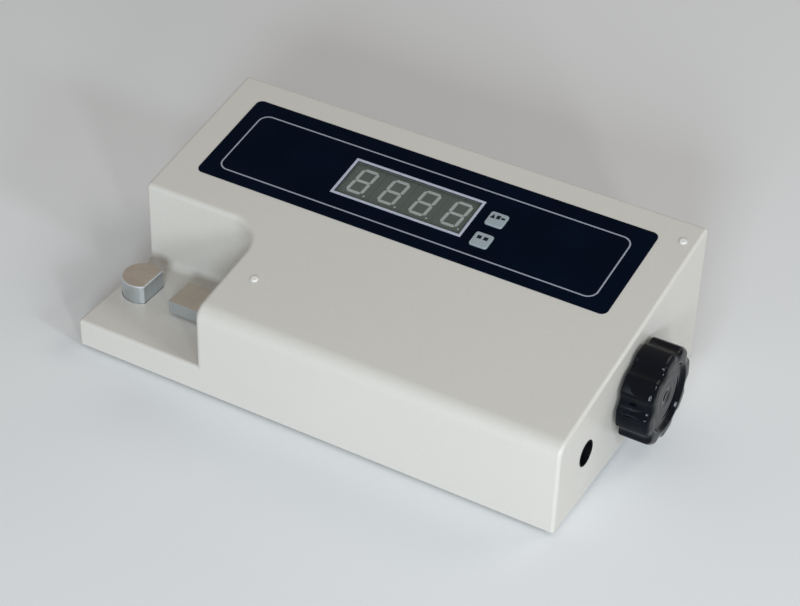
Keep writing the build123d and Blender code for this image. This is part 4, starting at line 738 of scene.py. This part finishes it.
# ------------------------------------------------------------------------------------------------
# Floor, light and camera
# ------------------------------------------------------------------------------------------------

# The floor's colour, the colours and levels of the light, and the point that the lamps face.
PALE = (0.86, 0.865, 0.87, 1.0)
COOL, WARM, NEARLY_WHITE = (0.8, 0.915, 1.0), (1.0, 0.95, 0.9), (0.93, 0.97, 1.0)
WORLD_LEVEL, BACKDROP_LEVEL = 0.31, 0.6
AIM = Vector((0, 0, 0.04))


def floor():
    """A plain pale floor, wide enough to fill the picture."""
    half = 4.0
    corners = [(-half, -half, 0), (half, -half, 0), (half, half, 0), (-half, half, 0)]
    mesh = bpy.data.meshes.new("floor")
    mesh.from_pydata(corners, [], [(0, 1, 2, 3)])
    f = Finish("floor", specular=0.0)
    f.base(f.mix(f.remap(f.noise(2.5, 2), 0.3, 0.7), PALE, tinted(PALE, 0.985)))
    f.rough(f.remap(f.noise(30, 2), 0.3, 0.7, 0.6, 0.7))
    mesh.materials.append(f.material)
    made = bpy.data.objects.new("floor", mesh)
    scene.collection.objects.link(made)


def world(strength, backdrop):
    """Even light of one strength, which the camera, metal and glass see as a backdrop."""
    sky = bpy.data.worlds.new("studio")
    scene.world = sky
    sky.use_nodes = True
    tree = sky.node_tree
    background = tree.nodes["Background"]
    background.inputs["Color"].default_value = (*WARM, 1.0)
    path = tree.nodes.new("ShaderNodeLightPath")
    seen = path.outputs["Is Camera Ray"]
    for ray in ("Is Glossy Ray", "Is Transmission Ray"):
        either = tree.nodes.new("ShaderNodeMath")
        either.operation = "MAXIMUM"
        tree.links.new(seen, either.inputs[0])
        tree.links.new(path.outputs[ray], either.inputs[1])
        seen = either.outputs[0]
    level = tree.nodes.new("ShaderNodeMapRange")
    level.inputs["To Min"].default_value = strength
    level.inputs["To Max"].default_value = backdrop
    tree.links.new(seen, level.inputs["Value"])
    tree.links.new(level.outputs["Result"], background.inputs["Strength"])


def lamp(name, azimuth, elevation, distance, size, share, tint):
    """A soft box that adds share of a plain white level on a surface facing it.
    Azimuth 0 is in front of the object and 90 on its right."""
    a, e = radians(azimuth), radians(elevation)
    away = Vector((sin(a) * cos(e), -cos(a) * cos(e), sin(e)))
    data = bpy.data.lights.new(name, "AREA")
    data.shape = "RECTANGLE"
    data.size, data.size_y = size
    data.energy = share * pi ** 2 * distance ** 2
    data.color = tint
    made = bpy.data.objects.new(name, data)
    scene.collection.objects.link(made)
    made.location = AIM + away * distance
    made.rotation_euler = away.to_track_quat("Z", "Y").to_euler()


floor()
world(WORLD_LEVEL, BACKDROP_LEVEL)
lamp("front_box", 20, 20, 2.2, (0.6, 0.5), 0.56, COOL)
lamp("right_box", 76, 24, 2.3, (0.34, 0.38), 0.22, COOL)
lamp("strip", 45, 16, 1.9, (0.14, 0.34), 0.2, NEARLY_WHITE)
lamp("back_box", 140, 42, 2.4, (1.0, 1.0), 0.14, WARM)

# The camera's right, up and back directions, and its place, as found from the photograph's edges.
CAMERA_PLACE = Vector((0.46406, -0.82927, 0.75268))
AZIMUTH, ELEVATION, ROLL = radians(28.835), radians(37.109), radians(1.863)
SENSOR = 36.0
FOCAL_PIXELS, FRAME_PIXELS = 2129.0, 800.0
back_axis = Vector((sin(AZIMUTH) * cos(ELEVATION), -cos(AZIMUTH) * cos(ELEVATION), sin(ELEVATION)))
level_right = Vector((cos(AZIMUTH), sin(AZIMUTH), 0))
level_up = back_axis.cross(level_right)
right_axis = level_right * cos(ROLL) + level_up * sin(ROLL)
up_axis = back_axis.cross(right_axis)
lens = bpy.data.cameras.new("camera")
lens.sensor_width = SENSOR
lens.lens = FOCAL_PIXELS * SENSOR / FRAME_PIXELS
lens.clip_start, lens.clip_end = 0.01, 50.0
camera = bpy.data.objects.new("camera", lens)
scene.collection.objects.link(camera)
camera.matrix_world = Matrix.Translation(CAMERA_PLACE) @ Matrix(
    (right_axis, up_axis, back_axis)).transposed().to_4x4()
scene.camera = camera
scene.view_settings.view_transform = "Standard"
